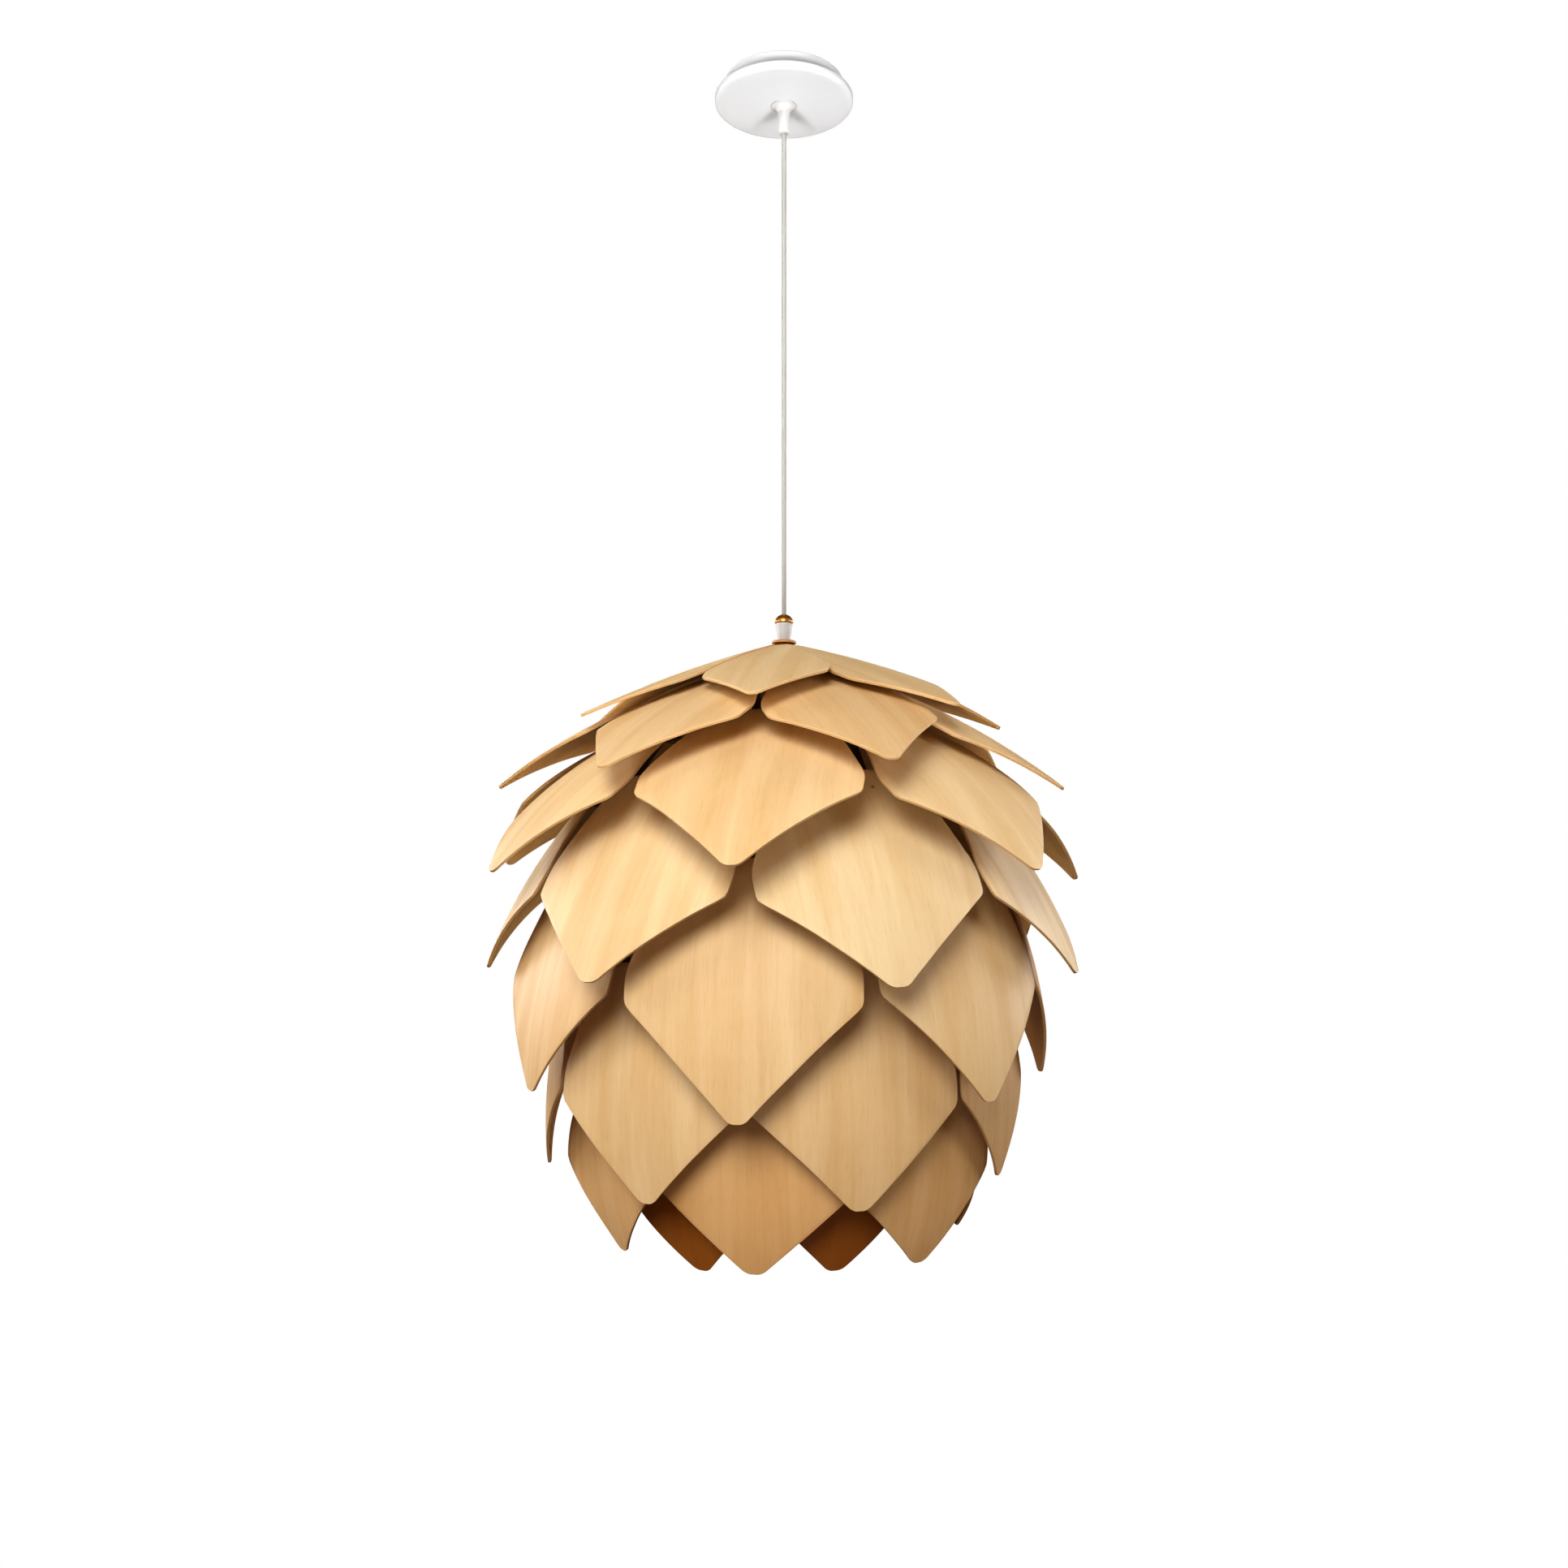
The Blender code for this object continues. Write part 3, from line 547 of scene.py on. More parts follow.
def half_width(tier, s):
    """Half a petal's width, s metres from its root."""
    lower, length = petal_length(tier)
    upper = lower - SIDE_EDGE
    radius, arc_start = tip_round(tier)
    if s > arc_start:
        return math.sqrt(max(radius ** 2 - (s - length + radius) ** 2, 0))
    flank = tier.root_half + (tier.half - tier.root_half) * s / upper
    point = tier.half * (length + TIP_CUT - s) / (length + TIP_CUT - lower)
    return blend_min(blend_min(flank, tier.half), point)


def petal_place(tier, s, x, fit):
    """Point on a petal's outer face, before the petal is turned to its bearing."""
    lean, sway = math.radians(fit.lean), math.radians(fit.sway)
    turned_s = HOOP_DROP + (s - HOOP_DROP) * math.cos(sway) - x * math.sin(sway)
    turned_x = (s - HOOP_DROP) * math.sin(sway) + x * math.cos(sway)
    point, normal = middle_line(tier, turned_s + fit.slip)
    roll = math.radians(tier.roll)
    offset = turned_x * math.sin(roll) - turned_x ** 2 / (2 * tier.bow)
    if turned_x * fit.spring > 0:
        shoulder_s, _ = petal_length(tier)
        offset += abs(fit.spring) * (turned_x / tier.half) ** 2 * max(turned_s, 0) / shoulder_s
    point = point + normal * offset
    hinge, _ = middle_line(tier, HOOP_DROP)
    point = hinge + Matrix.Rotation(lean, 2) @ (point - hinge)
    return Vector((turned_x * math.cos(roll), -point.x, point.y))


def drawn_fit(number, petal, draws):
    """A petal's fit with its random share of lean and sway added."""
    askew = ASKEW.get((number, petal), Fit())
    lean = askew.lean + draws.uniform(-LEAN_SPREAD, LEAN_SPREAD)
    sway = askew.sway + draws.uniform(-SWAY_SPREAD, SWAY_SPREAD)
    return askew._replace(lean=lean, sway=sway)


def petal_rows(tier):
    """(s, half width) down a petal: even steps, then closer ones round the tip, which ends
    where the CAD petal's tip does."""
    _, length = petal_length(tier)
    radius, arc_start = tip_round(tier)
    count = round(arc_start / ROW_STEP)
    rows = [(arc_start * k / count, half_width(tier, arc_start * k / count))
            for k in range(count + 1)]
    centre = length - radius
    start, end = math.asin((arc_start - centre) / radius), math.acos(TIP_FLAT)
    cad_end = centre + radius * math.sqrt(1 - CAD_TIP_FLAT ** 2)
    squeeze = (cad_end - arc_start) / (centre + radius * math.sin(end) - arc_start)
    for k in range(1, TIP_ROWS + 1):
        angle = start + (end - start) * k / TIP_ROWS
        s = centre + radius * math.sin(angle)
        rows.append((arc_start + (s - arc_start) * squeeze, radius * math.cos(angle)))
    return rows


def bearing_of(number, k):
    """Where a tier's petal k is: each tier is half a step round from the one above."""
    step = math.tau / PETALS
    offset = 0 if number % 2 else step / 2
    return math.radians(SHADE_TURN + TIERS[number - 1].turn) + offset + k * step


def wander(seed, a, b, step):
    """Slow random wander between 0 and 1, changing over about one step."""
    return 0.5 + 0.5 * noise.noise(Vector((a / step, b / step, 7.31 * seed)))


def make_petal(name, tier, bearing, fit, seed, sheet_tone_and_painted_shade, woods, *nodes):
    """A fine grid bent to the petal's form, thickened inwards by the plywood, with its saw
    cut wandering a little and its edges eased."""
    rows = petal_rows(tier)
    bm = bmesh.new()
    across = bm.verts.layers.float.new("across")
    along = bm.verts.layers.float.new("along")
    bmesh.ops.create_grid(bm, x_segments=PETAL_COLUMNS, y_segments=len(rows) - 1, size=1)
    for vert in bm.verts:
        s, half = rows[round((vert.co.y + 1) / 2 * (len(rows) - 1))]
        side = math.copysign(1, vert.co.x)
        fade = min(half / SAW_WANDER_FADE, 1)
        cut = SAW_WANDER * wander(seed, side, s, SAW_WANDER_LENGTH) * fade
        x = vert.co.x * (half - cut)
        vert[across], vert[along] = x, s
        dip = FACE_WANDER * wander(seed, x, s, FACE_WANDER_LENGTH)
        place = petal_place(tier, s, x, fit)
        vert.co = place * (1 - dip / place.length)
    turn = Matrix.Rotation(bearing, 3, "Z")
    bmesh.ops.rotate(bm, verts=bm.verts, matrix=turn)
    bm.normal_update()
    centre = Vector((math.sin(bearing), -math.cos(bearing), 0))
    if sum(face.normal.dot(centre) for face in bm.faces) < 0:
        bmesh.ops.reverse_faces(bm, faces=bm.faces)
    bmesh.ops.solidify(bm, geom=bm.faces, thickness=PLY)
    depth = bm.verts.layers.float.new("depth")
    for vert in bm.verts:
        face_point = turn @ petal_place(tier, vert[along], vert[across], fit)
        vert[depth] = PLY if (vert.co - face_point).length > PLY / 2 else 0.0
    for face in bm.faces:
        levels = {vert[depth] for vert in face.verts}
        face.material_index = 1 if len(levels) > 1 else 0
    rims = [edge for edge in bm.edges
            if len({face.material_index for face in edge.link_faces}) > 1]
    bmesh.ops.bevel(bm, geom=rims, offset=PLY_EDGE_ROUND, segments=2, profile=0.5,
                    affect="EDGES", material=-1)
    sheet = SHEET_STEP * seed
    uv = bm.loops.layers.uv.new("across_along")
    for face in bm.faces:
        for loop in face.loops:
            vert = loop.vert
            if face.material_index:
                loop[uv].uv = (vert[along] + vert[across], vert[depth])
            else:
                loop[uv].uv = sheet + Vector((vert[across], vert[along]))
    item = finish(name, bm, woods, "plywood", *nodes)
    # The sheet's random tone together with its tier's painted shade
    tone = item.data.attributes.new("sheet_tone_and_painted_shade", "FLOAT", "POINT")
    tone.data.foreach_set("value", [sheet_tone_and_painted_shade] * len(item.data.vertices))
    return item


def make_petals(woods):
    """All eight tiers, with the same draws in the same order as in the part's source."""
    draws = random.Random(FIT_SEED)
    joined = {1: "petal_rosette", len(TIERS): "bottom_petal_ring"}
    for number, tier in enumerate(TIERS, 1):
        for k in range(PETALS):
            fit = drawn_fit(number, k + 1, draws)
            node = joined.get(number, f"petal_{number}_{k + 1}")
            seed = 10 * number + k
            # The tier's painted shade, less a random share for the petal's own sheet
            tone = TIER_PAINTED_SHADE[number - 1] - TONE_SPREAD * random.Random(seed).random()
            make_petal(f"ply_petal_{number}_{k + 1}", tier, bearing_of(number, k), fit, seed,
                       max(tone, 0), woods, node)


def hoop_outline(number):
    """Corners of a hoop's section, from its top outer edge; it lies along its petals' backs."""
    point, normal = middle_line(TIERS[number - 1], HOOP_DROP)
    sink = -WELD_DEPTH if number == len(TIERS) else HOOP_GAP
    top = point - normal * (PLY + sink)
    across, down = normal * STRIP_THICKNESS, Vector((normal.y, -normal.x)) * STRIP_WIDTH
    return top, top + down, top + down - across, top - across


def cone_height(radius, drop):
    """Height of the shade's sloping top at a radius, lowered by drop."""
    return CONE_TOP - radius * math.tan(HUB_SLOPE) - drop


def cone_ring(outer, drop, thickness):
    """Outline of a ring on the slope of the shade's top."""
    return ((BORE_RADIUS, cone_height(BORE_RADIUS, drop)), (outer, cone_height(outer, drop)),
            (outer, cone_height(outer, drop + thickness)),
            (BORE_RADIUS, cone_height(BORE_RADIUS, drop + thickness)))


def rib_path():
    """The part's route for a rib, with its bends eased."""
    drop = ROSETTE_THICKNESS + CLEARANCE + HUB_THICKNESS / 2
    start = HUB_RADIUS - STRIP_WIDTH
    path = [Vector((start, cone_height(start, drop))),
            Vector((HUB_RADIUS, cone_height(HUB_RADIUS, drop)))]
    for number in range(2, len(TIERS)):
        root, normal = middle_line(TIERS[number - 1], 0)
        path.append(root - normal * (PLY + 2 * HOOP_GAP))
        _, _, bottom_inner, top_inner = hoop_outline(number)
        path += [top_inner + normal * WELD_DEPTH, bottom_inner + normal * WELD_DEPTH]
    top, bottom, bottom_inner, top_inner = hoop_outline(len(TIERS))
    inner = min(top_inner.x, bottom_inner.x) * math.cos(math.pi / CAD_HOOP_STEPS) - CLEARANCE
    path += [Vector((inner, top.y + CLEARANCE)), Vector((inner, bottom.y))]
    return eased_path(path, 2)


def make_rib(name, bearing, steel, *nodes):
    """One strip from the hub down the inside of the hoops, with eased edges."""
    bm = bmesh.new()
    left = [bm.verts.new((-STRIP_WIDTH / 2, -p.x, p.y)) for p in rib_path()]
    edges = [bm.edges.new(pair) for pair in zip(left, left[1:])]
    strip = bmesh.ops.extrude_edge_only(bm, edges=edges)
    moved = [part for part in strip["geom"] if isinstance(part, bmesh.types.BMVert)]
    bmesh.ops.translate(bm, verts=moved, vec=(STRIP_WIDTH, 0, 0))
    bm.normal_update()
    if sum(face.normal.y for face in bm.faces) > 0:
        bmesh.ops.reverse_faces(bm, faces=bm.faces)
    bmesh.ops.solidify(bm, geom=bm.faces, thickness=STRIP_THICKNESS)
    rims = [edge for edge in bm.edges if edge.calc_face_angle(0) > STRIP_RIM_ANGLE]
    bmesh.ops.bevel(bm, geom=rims, offset=STRIP_EDGE, segments=2, profile=0.5,
                    affect="EDGES", material=-1)
    bmesh.ops.rotate(bm, verts=bm.verts, matrix=Matrix.Rotation(bearing, 3, "Z"))
    finish(name, bm, [steel], "frame_steel", *nodes)


def make_cage(steel):
    """Hub, hoops and ribs of powder-coated strip."""
    hub = cone_ring(HUB_RADIUS, ROSETTE_THICKNESS + CLEARANCE, HUB_THICKNESS)
    finish("cage_hub", turned(hub, CAGE_STEPS, STRIP_EDGE), [steel], "frame_steel",
           "shade_frame")
    for number in range(2, len(TIERS) + 1):
        node = "bottom_petal_ring" if number == len(TIERS) else "shade_frame"
        hoop = turned(hoop_outline(number), CAGE_STEPS, STRIP_EDGE)
        finish(f"cage_hoop_{number}", hoop, [steel], "frame_steel", node)
    for k in range(PETALS):
        bearing = math.radians(SHADE_TURN) + k * math.tau / PETALS
        make_rib(f"cage_rib_{k + 1}", bearing, steel, "shade_frame")


def make_rivets(metal):
    """Two domed rivets through each petal and its hoop, as low domes on both sides."""
    bm = bmesh.new()
    back = PLY + HOOP_GAP + STRIP_THICKNESS
    size = Matrix.Diagonal((RIVET_RADIUS, RIVET_RADIUS, back / 2 + RIVET_DOME, 1))
    for number in range(2, len(TIERS) + 1):
        tier = TIERS[number - 1]
        point, normal = middle_line(tier, HOOP_DROP + STRIP_WIDTH / 2)
        out = Vector((0, -normal.x, normal.y))
        turn = out.to_track_quat("Z", "Y").to_matrix().to_4x4()
        for k in range(PETALS):
            swing = Matrix.Rotation(bearing_of(number, k), 4, "Z")
            for x in (-RIVET_SPREAD, RIVET_SPREAD):
                face = Vector((x, -point.x, point.y)) - out * x * x / (2 * tier.bow)
                place = Matrix.Translation(face - out * back / 2) @ turn
                dome = bmesh.ops.create_uvsphere(bm, u_segments=12, v_segments=8, radius=1)
                bmesh.ops.transform(bm, verts=dome["verts"], matrix=swing @ place @ size)
    finish("petal_rivets", bm, [metal], "zinc_steel")


def make_ceiling_plate(steel):
    """Flat plate on the ceiling inside the canopy, with the hole for the mains wires."""
    outline = ((0, 0), (PLATE_RADIUS, 0), (PLATE_RADIUS, -PLATE_THICKNESS),
               (0, -PLATE_THICKNESS))
    plate = finish("canopy_plate", turned(outline), [steel], "zinc_steel", "ceiling_plate")
    bm = bmesh.new()
    place = Matrix.Translation((WIRE_HOLE_OFFSET, 0, -PLATE_THICKNESS / 2))
    bmesh.ops.create_cone(bm, cap_ends=True, segments=BORE_STEPS, radius1=WIRE_HOLE_RADIUS,
                          radius2=WIRE_HOLE_RADIUS, depth=2 * PLATE_THICKNESS, matrix=place)
    drill = bpy.data.meshes.new("wire_hole")
    bm.to_mesh(drill)
    bm.free()
    cutter = bpy.data.objects.new("wire_hole", drill)
    bpy.context.scene.collection.objects.link(cutter)
    cut = plate.modifiers.new("Hole", "BOOLEAN")
    cut.operation = "DIFFERENCE"
    cut.object = cutter
    view = bpy.context.evaluated_depsgraph_get()
    drilled = bpy.data.meshes.new_from_object(plate.evaluated_get(view))
    plate.modifiers.clear()
    plate.data = drilled
    bpy.data.objects.remove(cutter)


def make_canopy_cover(enamel):
    """The cover: a collar above a wider rim, open at the ceiling, with its edges rounded."""
    floor = -CANOPY_HEIGHT
    rim_top = floor + RIM_HEIGHT
    edge, fillet = CANOPY_EDGE, CANOPY_FILLET
    lower = [(RIM_RADIUS - 4 * edge * (1 - math.sin(a)), floor + 2 * edge * (1 - math.cos(a)))
             for a in quarter(6)]
    upper = [(RIM_RADIUS - edge * (1 - math.cos(a)), rim_top - edge * (1 - math.sin(a)))
             for a in quarter(4)]
    inner = [(COLLAR_RADIUS + fillet * (1 - math.sin(a)), rim_top + fillet * (1 - math.cos(a)))
             for a in quarter(4)]
    outline = ([(BORE_RADIUS, floor)] + lower + upper + inner
               + [(COLLAR_RADIUS, -COLLAR_EDGE), (COLLAR_RADIUS - COLLAR_EDGE, 0),
                  (COLLAR_RADIUS - CANOPY_WALL, 0),
                  (COLLAR_RADIUS - CANOPY_WALL, floor + CANOPY_WALL),
                  (BORE_RADIUS, floor + CANOPY_WALL)])
    finish("canopy_shell", turned(outline, CANOPY_STEPS), [enamel], "white_enamel", "canopy_cover")


def make_canopy_grip(plastic):
    """Flared grip that holds the cord under the canopy, with its stem up through the nut."""
    top = -CANOPY_HEIGHT - CLEARANCE
    stem_top = -CANOPY_HEIGHT + CANOPY_WALL + CLEARANCE + NUT_HEIGHT + STEM_SPARE
    hole = CORD_DIAMETER / 2 + CLEARANCE
    flare, neck, end = CANOPY_GRIP_FLARE, CANOPY_GRIP_NECK, CANOPY_GRIP_END
    sweep = [(neck + (flare - neck) * (1 - math.sin(a)),
              top - CANOPY_GRIP_RIM - CANOPY_GRIP_SWEEP * (1 - math.cos(a)))
             for a in quarter(12)]
    outline = ([(0, stem_top), (STEM_RADIUS, stem_top), (STEM_RADIUS, top),
                (flare - CANOPY_GRIP_EDGE, top), (flare, top - CANOPY_GRIP_EDGE)] + sweep
               + [(neck - inwards, end + up) for inwards, up in GRIP_EASE]
               + [(hole, end), (hole, end + CORD_ENTRY + CLEARANCE),
                  (0, end + CORD_ENTRY + CLEARANCE)])
    finish("cord_grip_top", turned(outline, SMALL_STEPS), [plastic], "white_plastic",
           "canopy_grip")


def hex_nut(name, top, metal, node):
    """Hexagon nut with its corners chamfered."""
    bm = bmesh.new()
    place = Matrix.Translation((0, 0, top))
    bmesh.ops.create_circle(bm, segments=6, radius=NUT_CORNER_RADIUS, matrix=place)
    bmesh.ops.create_circle(bm, segments=BORE_STEPS, radius=BORE_RADIUS, matrix=place)
    bmesh.ops.triangle_fill(bm, edges=bm.edges, use_beauty=True)
    wall = bmesh.ops.extrude_face_region(bm, geom=bm.faces)
    moved = [part for part in wall["geom"] if isinstance(part, bmesh.types.BMVert)]
    bmesh.ops.translate(bm, verts=moved, vec=(0, 0, -NUT_HEIGHT))
    bmesh.ops.recalc_face_normals(bm, faces=bm.faces)
    # Only the edges of the six flats, which are further out than the bore
    bound = NUT_CORNER_RADIUS * math.cos(math.pi / 6) - SMALL_ROUND
    rims = [edge for edge in bm.edges if edge.calc_face_angle(0) > RIM_ANGLE
            and min(vert.co.xy.length for vert in edge.verts) > bound]
    bmesh.ops.bevel(bm, geom=rims, offset=NUT_CHAMFER, segments=2, profile=0.5,
                    affect="EDGES", material=-1)
    finish(name, bm, [metal], "zinc_steel", node, smooth=25)


def make_cord(covering):
    """Taut cord from inside the canopy grip to inside the domed cap, on the part's route."""
    top, bottom = CANOPY_GRIP_END + CORD_ENTRY, CAP_TOP - CORD_ENTRY
    curve = bpy.data.curves.new("pendant_cord", "CURVE")
    curve.dimensions = "3D"
    curve.bevel_depth = CORD_DIAMETER / 2
    curve.bevel_resolution = 8
    curve.use_fill_caps = True
    line = curve.splines.new("POLY")
    line.points.add(CORD_POINTS - 1)
    for index, point in enumerate(line.points):
        point.co = (0, 0, top + (bottom - top) * index / (CORD_POINTS - 1), 1)
    curve.materials.append(covering)
    item = bpy.data.objects.new("pendant_cord", curve)
    bpy.context.scene.collection.objects.link(item)
    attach(item, "root")
    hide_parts("cord")


def make_shade_grip(brass, plastic, wood):
    """Domed brass cap, white tapered grip and the wooden washer on the petals' middle."""
    hole = CORD_DIAMETER / 2 + CLEARANCE
    pocket = CAP_TOP - CORD_ENTRY - CLEARANCE
    start = math.asin(hole / CAP_RADIUS)
    dome = [(CAP_RADIUS * math.sin(a), CAP_BOTTOM + (CAP_TOP - CAP_BOTTOM) * math.cos(a))
            for a in [start + (math.pi / 2 - start) * i / CAP_STEPS
                      for i in range(CAP_STEPS + 1)]]
    outline = [(0, pocket), (hole, pocket)] + dome + [(0, CAP_BOTTOM)]
    finish("cord_cap_brass", turned(outline, SMALL_STEPS, SMALL_ROUND), [brass], "brass",
           "domed_cap")

    top, bottom, edge = CAP_BOTTOM - CLEARANCE, SHADE_GRIP_BOTTOM, SHADE_GRIP_EDGE
    upper = [(SHADE_GRIP_TOP_RADIUS - edge * (1 - math.sin(a)), top - edge * (1 - math.cos(a)))
             for a in quarter(5)]
    lower = [(SHADE_GRIP_RADIUS - edge * (1 - math.cos(a)), bottom + edge * (1 - math.sin(a)))
             for a in quarter(5)]
    outline = [(0, top)] + upper + lower + [(0, bottom)]
    finish("cord_grip_shade", turned(outline, SMALL_STEPS), [plastic], "white_plastic",
           "shade_grip")

    washer_top = SHADE_GRIP_BOTTOM - CLEARANCE
    dome = [(WASHER_RADIUS - 2 * WASHER_EDGE * (1 - math.sin(a)),
             washer_top - WASHER_EDGE * (1 - math.cos(a)))
            for a in quarter(6)]
    outline = ([(BORE_RADIUS, washer_top)] + dome
               + [(WASHER_RADIUS, WASHER_BOTTOM), (BORE_RADIUS, WASHER_BOTTOM)])
    finish("wood_washer", turned(outline, SMALL_STEPS, SMALL_ROUND), [wood], "plywood",
           "top_washer")


def make_rosette_centre(woods):
    """Turned plywood disc that the top tier's petals are glued to, under the washer."""
    outline = cone_ring(ROSETTE_RADIUS, 0, ROSETTE_THICKNESS)
    bm = turned(outline, SMALL_STEPS, ROSETTE_EDGE)
    uv = bm.loops.layers.uv.new("across_along")
    for face in bm.faces:
        for loop in face.loops:
            loop[uv].uv = loop.vert.co.xy
    finish("rosette_centre", bm, woods[:1], "plywood", "petal_rosette")


def make_lampholder(steel, plastic):
    """Threaded tube with the nut under the hub, and the lampholder on its lower end."""
    top = SHADE_GRIP_BOTTOM - CLEARANCE
    outline = ((TUBE_BORE, top), (STEM_RADIUS, top), (STEM_RADIUS, TUBE_BOTTOM),
               (TUBE_BORE, TUBE_BOTTOM))
    finish("hollow_screw", turned(outline, BORE_STEPS, TUBE_EDGE), [steel], "zinc_steel",
           "threaded_tube")
    hex_nut("nut_under_hub", NUT_TOP, steel, "hub_nut")
    socket = SCREW_SHELL_RADIUS + SOCKET_GAP
    floor = HOLDER_TOP - HOLDER_FLOOR
    crown = HOLDER_CROWN * HOLDER_RADIUS
    shoulder = [(crown + (HOLDER_RADIUS - crown) * math.sin(a),
                 HOLDER_TOP - HOLDER_SHOULDER * (1 - math.cos(a))) for a in quarter(9)]
    skirt = []
    for i in range(GROOVES):
        z = HOLDER_TOP - GROOVE_START - GROOVE_STEP * i
        skirt += [(HOLDER_RADIUS, z), (HOLDER_RADIUS - GROOVE_DEPTH, z - GROOVE_SLOPE),
                  (HOLDER_RADIUS - GROOVE_DEPTH, z - GROOVE_WIDTH + GROOVE_SLOPE),
                  (HOLDER_RADIUS, z - GROOVE_WIDTH)]
    outline = ([(BORE_RADIUS, HOLDER_TOP)] + shoulder + skirt
               + [(HOLDER_RADIUS - inwards, HOLDER_BOTTOM + up) for inwards, up in HOLDER_EASE]
               + [(socket, HOLDER_BOTTOM), (socket, floor), (BORE_RADIUS, floor)])
    finish("holder_body", turned(outline), [plastic], "white_plastic", "lampholder")


def make_bulb(nickel, glass):
    """Screw shell with its rolled thread, and the opal glass under it."""
    shell_bottom = HOLDER_BOTTOM - CLEARANCE
    thread_top = SCREW_SHELL_TOP - THREAD_DROP
    steps = 4 * THREAD_TURNS
    thread = [(SCREW_SHELL_RADIUS - THREAD_DEPTH * (1 - math.cos(i * math.pi / 2)),
               thread_top - (thread_top - shell_bottom) * i / steps) for i in range(steps + 1)]
    outline = ([(0, SCREW_SHELL_TOP), (CONTACT_RADIUS, SCREW_SHELL_TOP),
                (CONTACT_SHOULDER, SCREW_SHELL_TOP - CONTACT_DROP)] + thread
               + [(0, shell_bottom)])
    finish("bulb_cap_thread", turned(outline, SMALL_STEPS), [nickel], "zinc_steel",
           "bulb_screw_shell")

    neck_top = shell_bottom - CLEARANCE
    centre = BULB_BOTTOM + BULB_RADIUS
    bowl = [Vector((BULB_RADIUS * math.cos(a), centre + BULB_RADIUS * math.sin(a)))
            for a in [BOWL_START - (BOWL_START + math.pi / 2) * i / BOWL_STEPS
                      for i in range(BOWL_STEPS)]]
    neck = [Vector((radius, neck_top - drop)) for radius, drop in BULB_NECK] + bowl[:1]
    outline = [(0, neck_top)] + eased_path(neck, 3) + bowl[1:] + [(0, BULB_BOTTOM)]
    finish("bulb_opal", turned(outline), [glass], "opal_glass", "bulb_glass", smooth=60)


def show_white(tree, kind, lit, output):
    """Lets the camera see plain white paper, while the lamp is lit by what is really there."""
    paper = add_node(tree, kind, {"Color": linear("#FFFFFF"), "Strength": 1.0})
    seen = add_node(tree, "ShaderNodeLightPath").outputs["Is Camera Ray"]
    both = add_node(tree, "ShaderNodeMixShader", {0: seen, 1: lit, 2: paper.outputs[0]})
    tree.links.new(both.outputs[0], tree.nodes[output].inputs[0])


def make_stage():
    """Pale floor that curves up into a backdrop, well clear of the lamp."""
    material, tree, shader = new_material("studio_paper_white", "#F2E8D8", Roughness=0.9)
    show_white(tree, "ShaderNodeEmission", shader.outputs[0], "Material Output")
    path = [(STAGE_FRONT, STAGE_FLOOR)]
    for a in quarter(12):
        path.append((STAGE_BACK - STAGE_BEND * (1 - math.sin(a)),
                     STAGE_FLOOR + STAGE_BEND * (1 - math.cos(a))))
    path.append((STAGE_BACK, STAGE_TOP))
    bm = bmesh.new()
    left = [bm.verts.new((-STAGE_HALF_WIDTH, y, z)) for y, z in path]
    edges = [bm.edges.new(pair) for pair in zip(left, left[1:])]
    sheet = bmesh.ops.extrude_edge_only(bm, edges=edges)
    moved = [part for part in sheet["geom"] if isinstance(part, bmesh.types.BMVert)]
    bmesh.ops.translate(bm, verts=moved, vec=(2 * STAGE_HALF_WIDTH, 0, 0))
    mesh = bpy.data.meshes.new("studio_sweep")
    bm.to_mesh(mesh)
    bm.free()
    mesh.materials.append(material)
    mesh.shade_smooth()
    sweep = bpy.data.objects.new("studio_sweep", mesh)
    bpy.context.scene.collection.objects.link(sweep)


def add_light(name, place, aim, size, power, spread):
    """A round soft light, turned towards a height on the lamp's axis."""
    light = bpy.data.lights.new(name, "AREA")
    light.spread = math.radians(spread)
    light.shape = "DISK"
    light.size = size
    light.energy = power
    item = bpy.data.objects.new(name, light)
    item.location = place
    towards = Vector((0, 0, aim)) - Vector(place)
    item.rotation_euler = towards.to_track_quat("-Z", "Y").to_euler()
    bpy.context.scene.collection.objects.link(item)


def light_the_studio():
    """Soft key above the camera and to its left, weak light from both sides, rims from behind,
    a low bounce from the floor and two low lights on the canopy. The warm sky is brighter
    overhead than below."""
    for light in LIGHTS:
        add_light(*light)
    world = bpy.data.worlds.new("warm_sky")
    world.use_nodes = True
    tree = world.node_tree
    sky = tree.nodes["Background"]
    sky.inputs["Color"].default_value = linear("#FFB464")
    place = add_node(tree, "ShaderNodeTexCoord").outputs["Generated"]
    height = add_node(tree, "ShaderNodeSeparateXYZ", {"Vector": place}).outputs[2]
    ramp = add_node(tree, "ShaderNodeMapRange",
                    {"Value": height, "From Min": -1.0, "From Max": 1.0,
                     "To Min": SKY_BELOW, "To Max": SKY_ABOVE})
    tree.links.new(ramp.outputs[0], sky.inputs["Strength"])
    show_white(tree, "ShaderNodeBackground", sky.outputs[0], "World Output")
    bpy.context.scene.world = world
    bpy.context.scene.view_settings.view_transform = "Standard"
    # Under 1, so that the creases between the petals go as deep as in the photograph
    bpy.context.scene.view_settings.gamma = VIEW_GAMMA


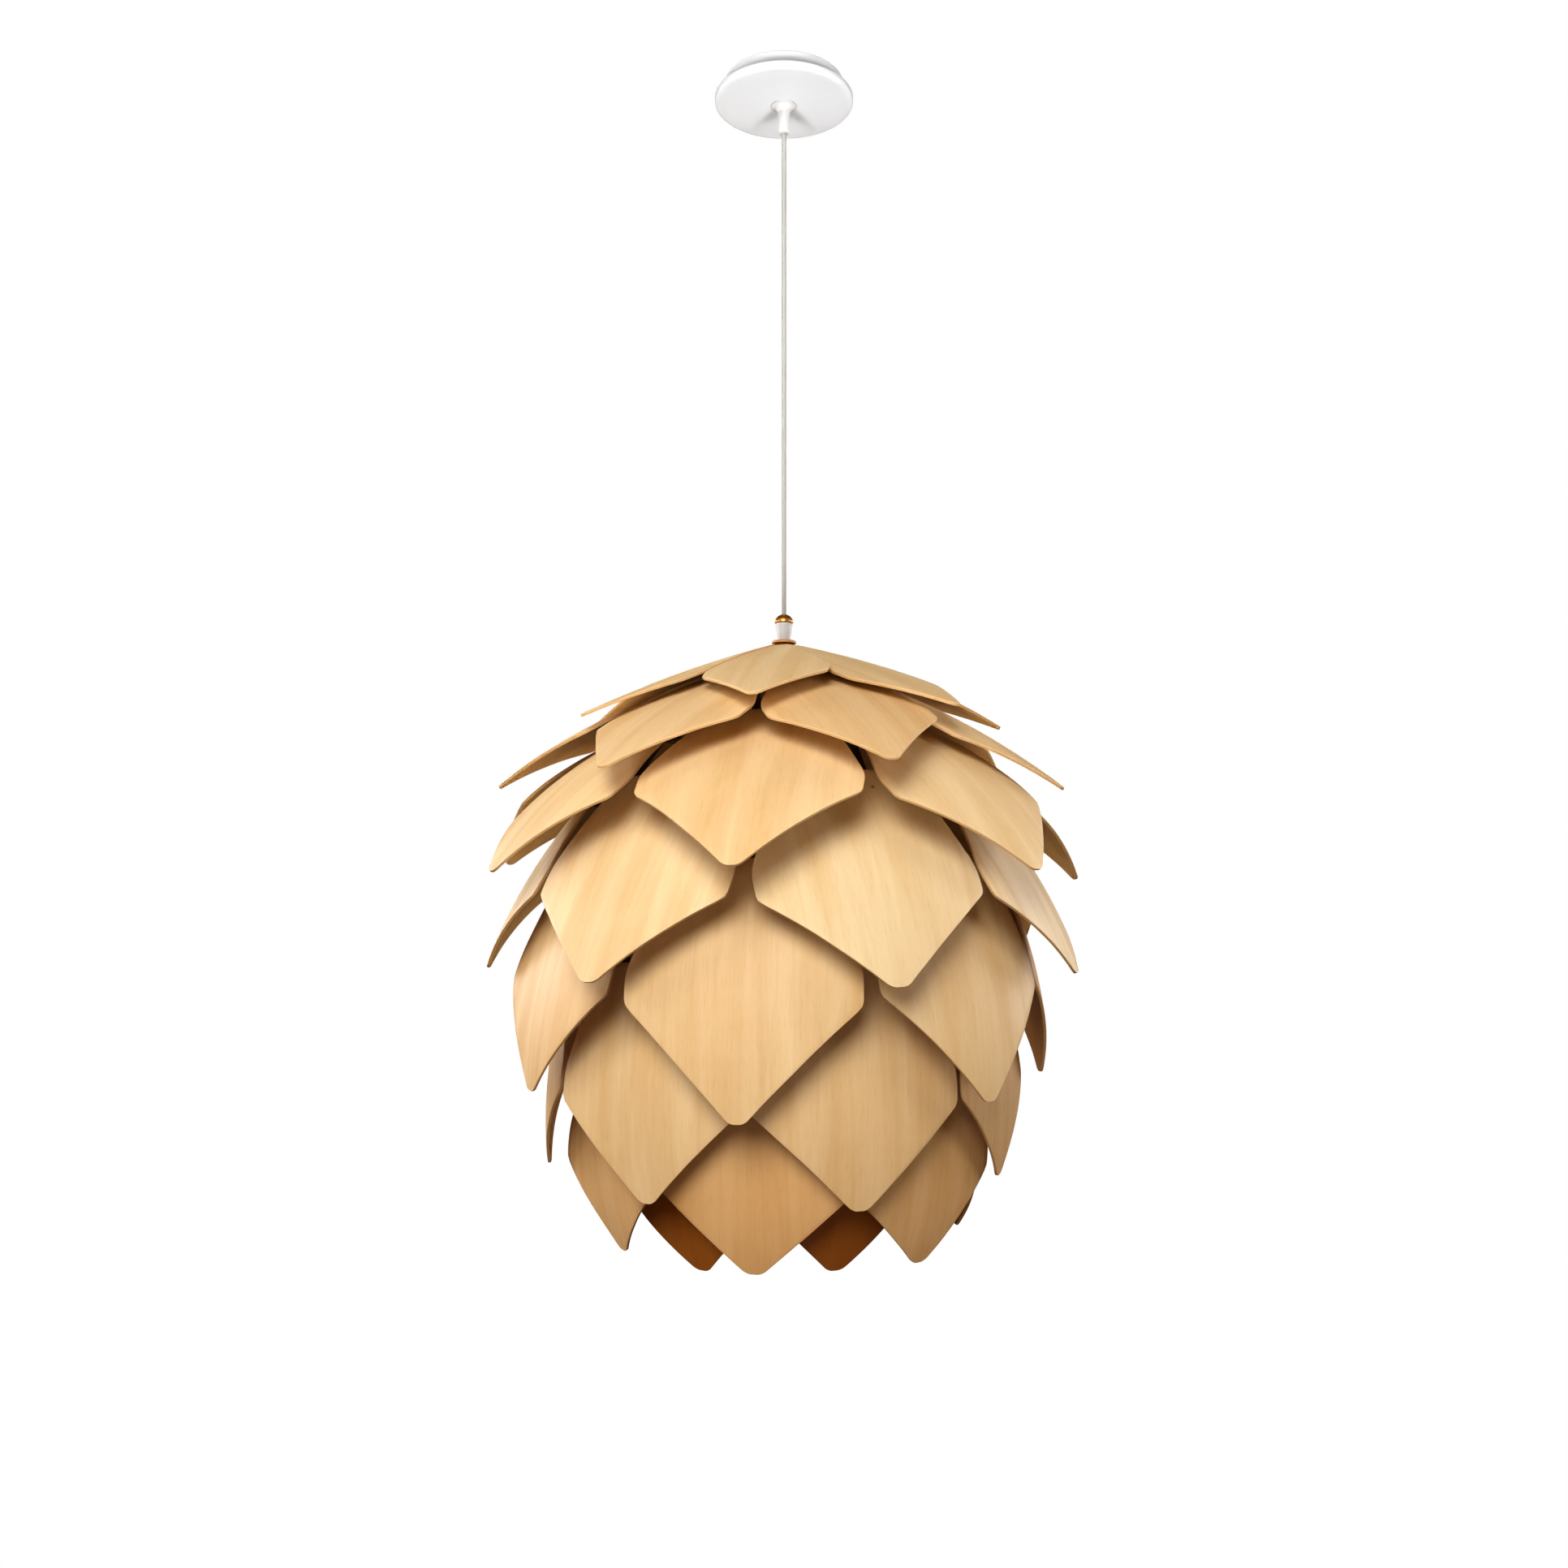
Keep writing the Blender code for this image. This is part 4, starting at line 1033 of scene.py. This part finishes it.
def place_camera():
    """At the photograph's viewing angle, looking level with the frame shifted up."""
    camera = bpy.data.cameras.new("camera")
    camera.lens = LENS_MM
    camera.shift_y = SHIFT_UP
    item = bpy.data.objects.new("camera", camera)
    item.location = (0, -EYE_DISTANCE, EYE_HEIGHT)
    item.rotation_euler = (math.radians(90), 0, 0)
    bpy.context.scene.collection.objects.link(item)
    bpy.context.scene.camera = item


def main():
    woods = [plywood_face(), plywood_edge()]
    # Pressed steel under white powder coat: matt, with the coat's shallow orange peel
    enamel = speckled("steel_powder_coated_white", "#D5DADF", "#DCE1E6", 0.6, 0.05, 0.15,
                      Roughness=0.55)
    # Injection-moulded polycarbonate: a satin white with the fine grain of its mould
    plastic = speckled("polycarbonate_moulded_white", "#C8C9CA", "#D1D2D3", 0.5, 0.03, 0.1,
                       Roughness=0.38)
    # Extruded PVC: slightly greyer than the fittings, with a soft sheen along the cord
    sheath = speckled("pvc_cord_sheath_white", "#A8A8A5", "#AFAFAC", 0.8, 0.05, 0.2,
                      Roughness=0.5)
    # Steel strip under brown powder coat: dark and dull, so that it stays back in the gaps
    coated = speckled("steel_strip_powder_coated_brown", "#4E3420", "#5C4029", 0.8, 0.06, 0.2,
                      Roughness=0.5)
    # Turned brass, polished and lacquered: a warm gold whose highlights the lacquer softens
    brass = brushed("brass_polished_lacquered", "#C38B45", "#D8A65C", 0.38, 0.8)
    # Zinc-plated steel: a cool grey with blurred reflections
    steel = brushed("steel_zinc_plated", "#B9BCBE", "#D2D4D4", 0.34, 0.7)
    # Rolled brass shell with nickel plating: brighter and warmer than the zinc
    nickel = brushed("brass_nickel_plated", "#C9C4B8", "#DAD6CC", 0.25, 0.9)
    place_camera()
    make_cord(sheath)
    make_ceiling_plate(steel)
    make_canopy_cover(enamel)
    make_canopy_grip(plastic)
    hex_nut("nut_in_canopy", -CANOPY_HEIGHT + CANOPY_WALL + CLEARANCE + NUT_HEIGHT, steel,
            "canopy_nut")
    make_shade_grip(brass, plastic, turned_wood())
    make_petals(woods)
    make_rosette_centre(woods)
    make_cage(coated)
    make_rivets(steel)
    make_lampholder(steel, plastic)
    make_bulb(nickel, opal_glass())
    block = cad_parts["terminal_block"]
    block.data.materials.clear()
    block.data.materials.append(plastic)
    make_stage()
    light_the_studio()


main()
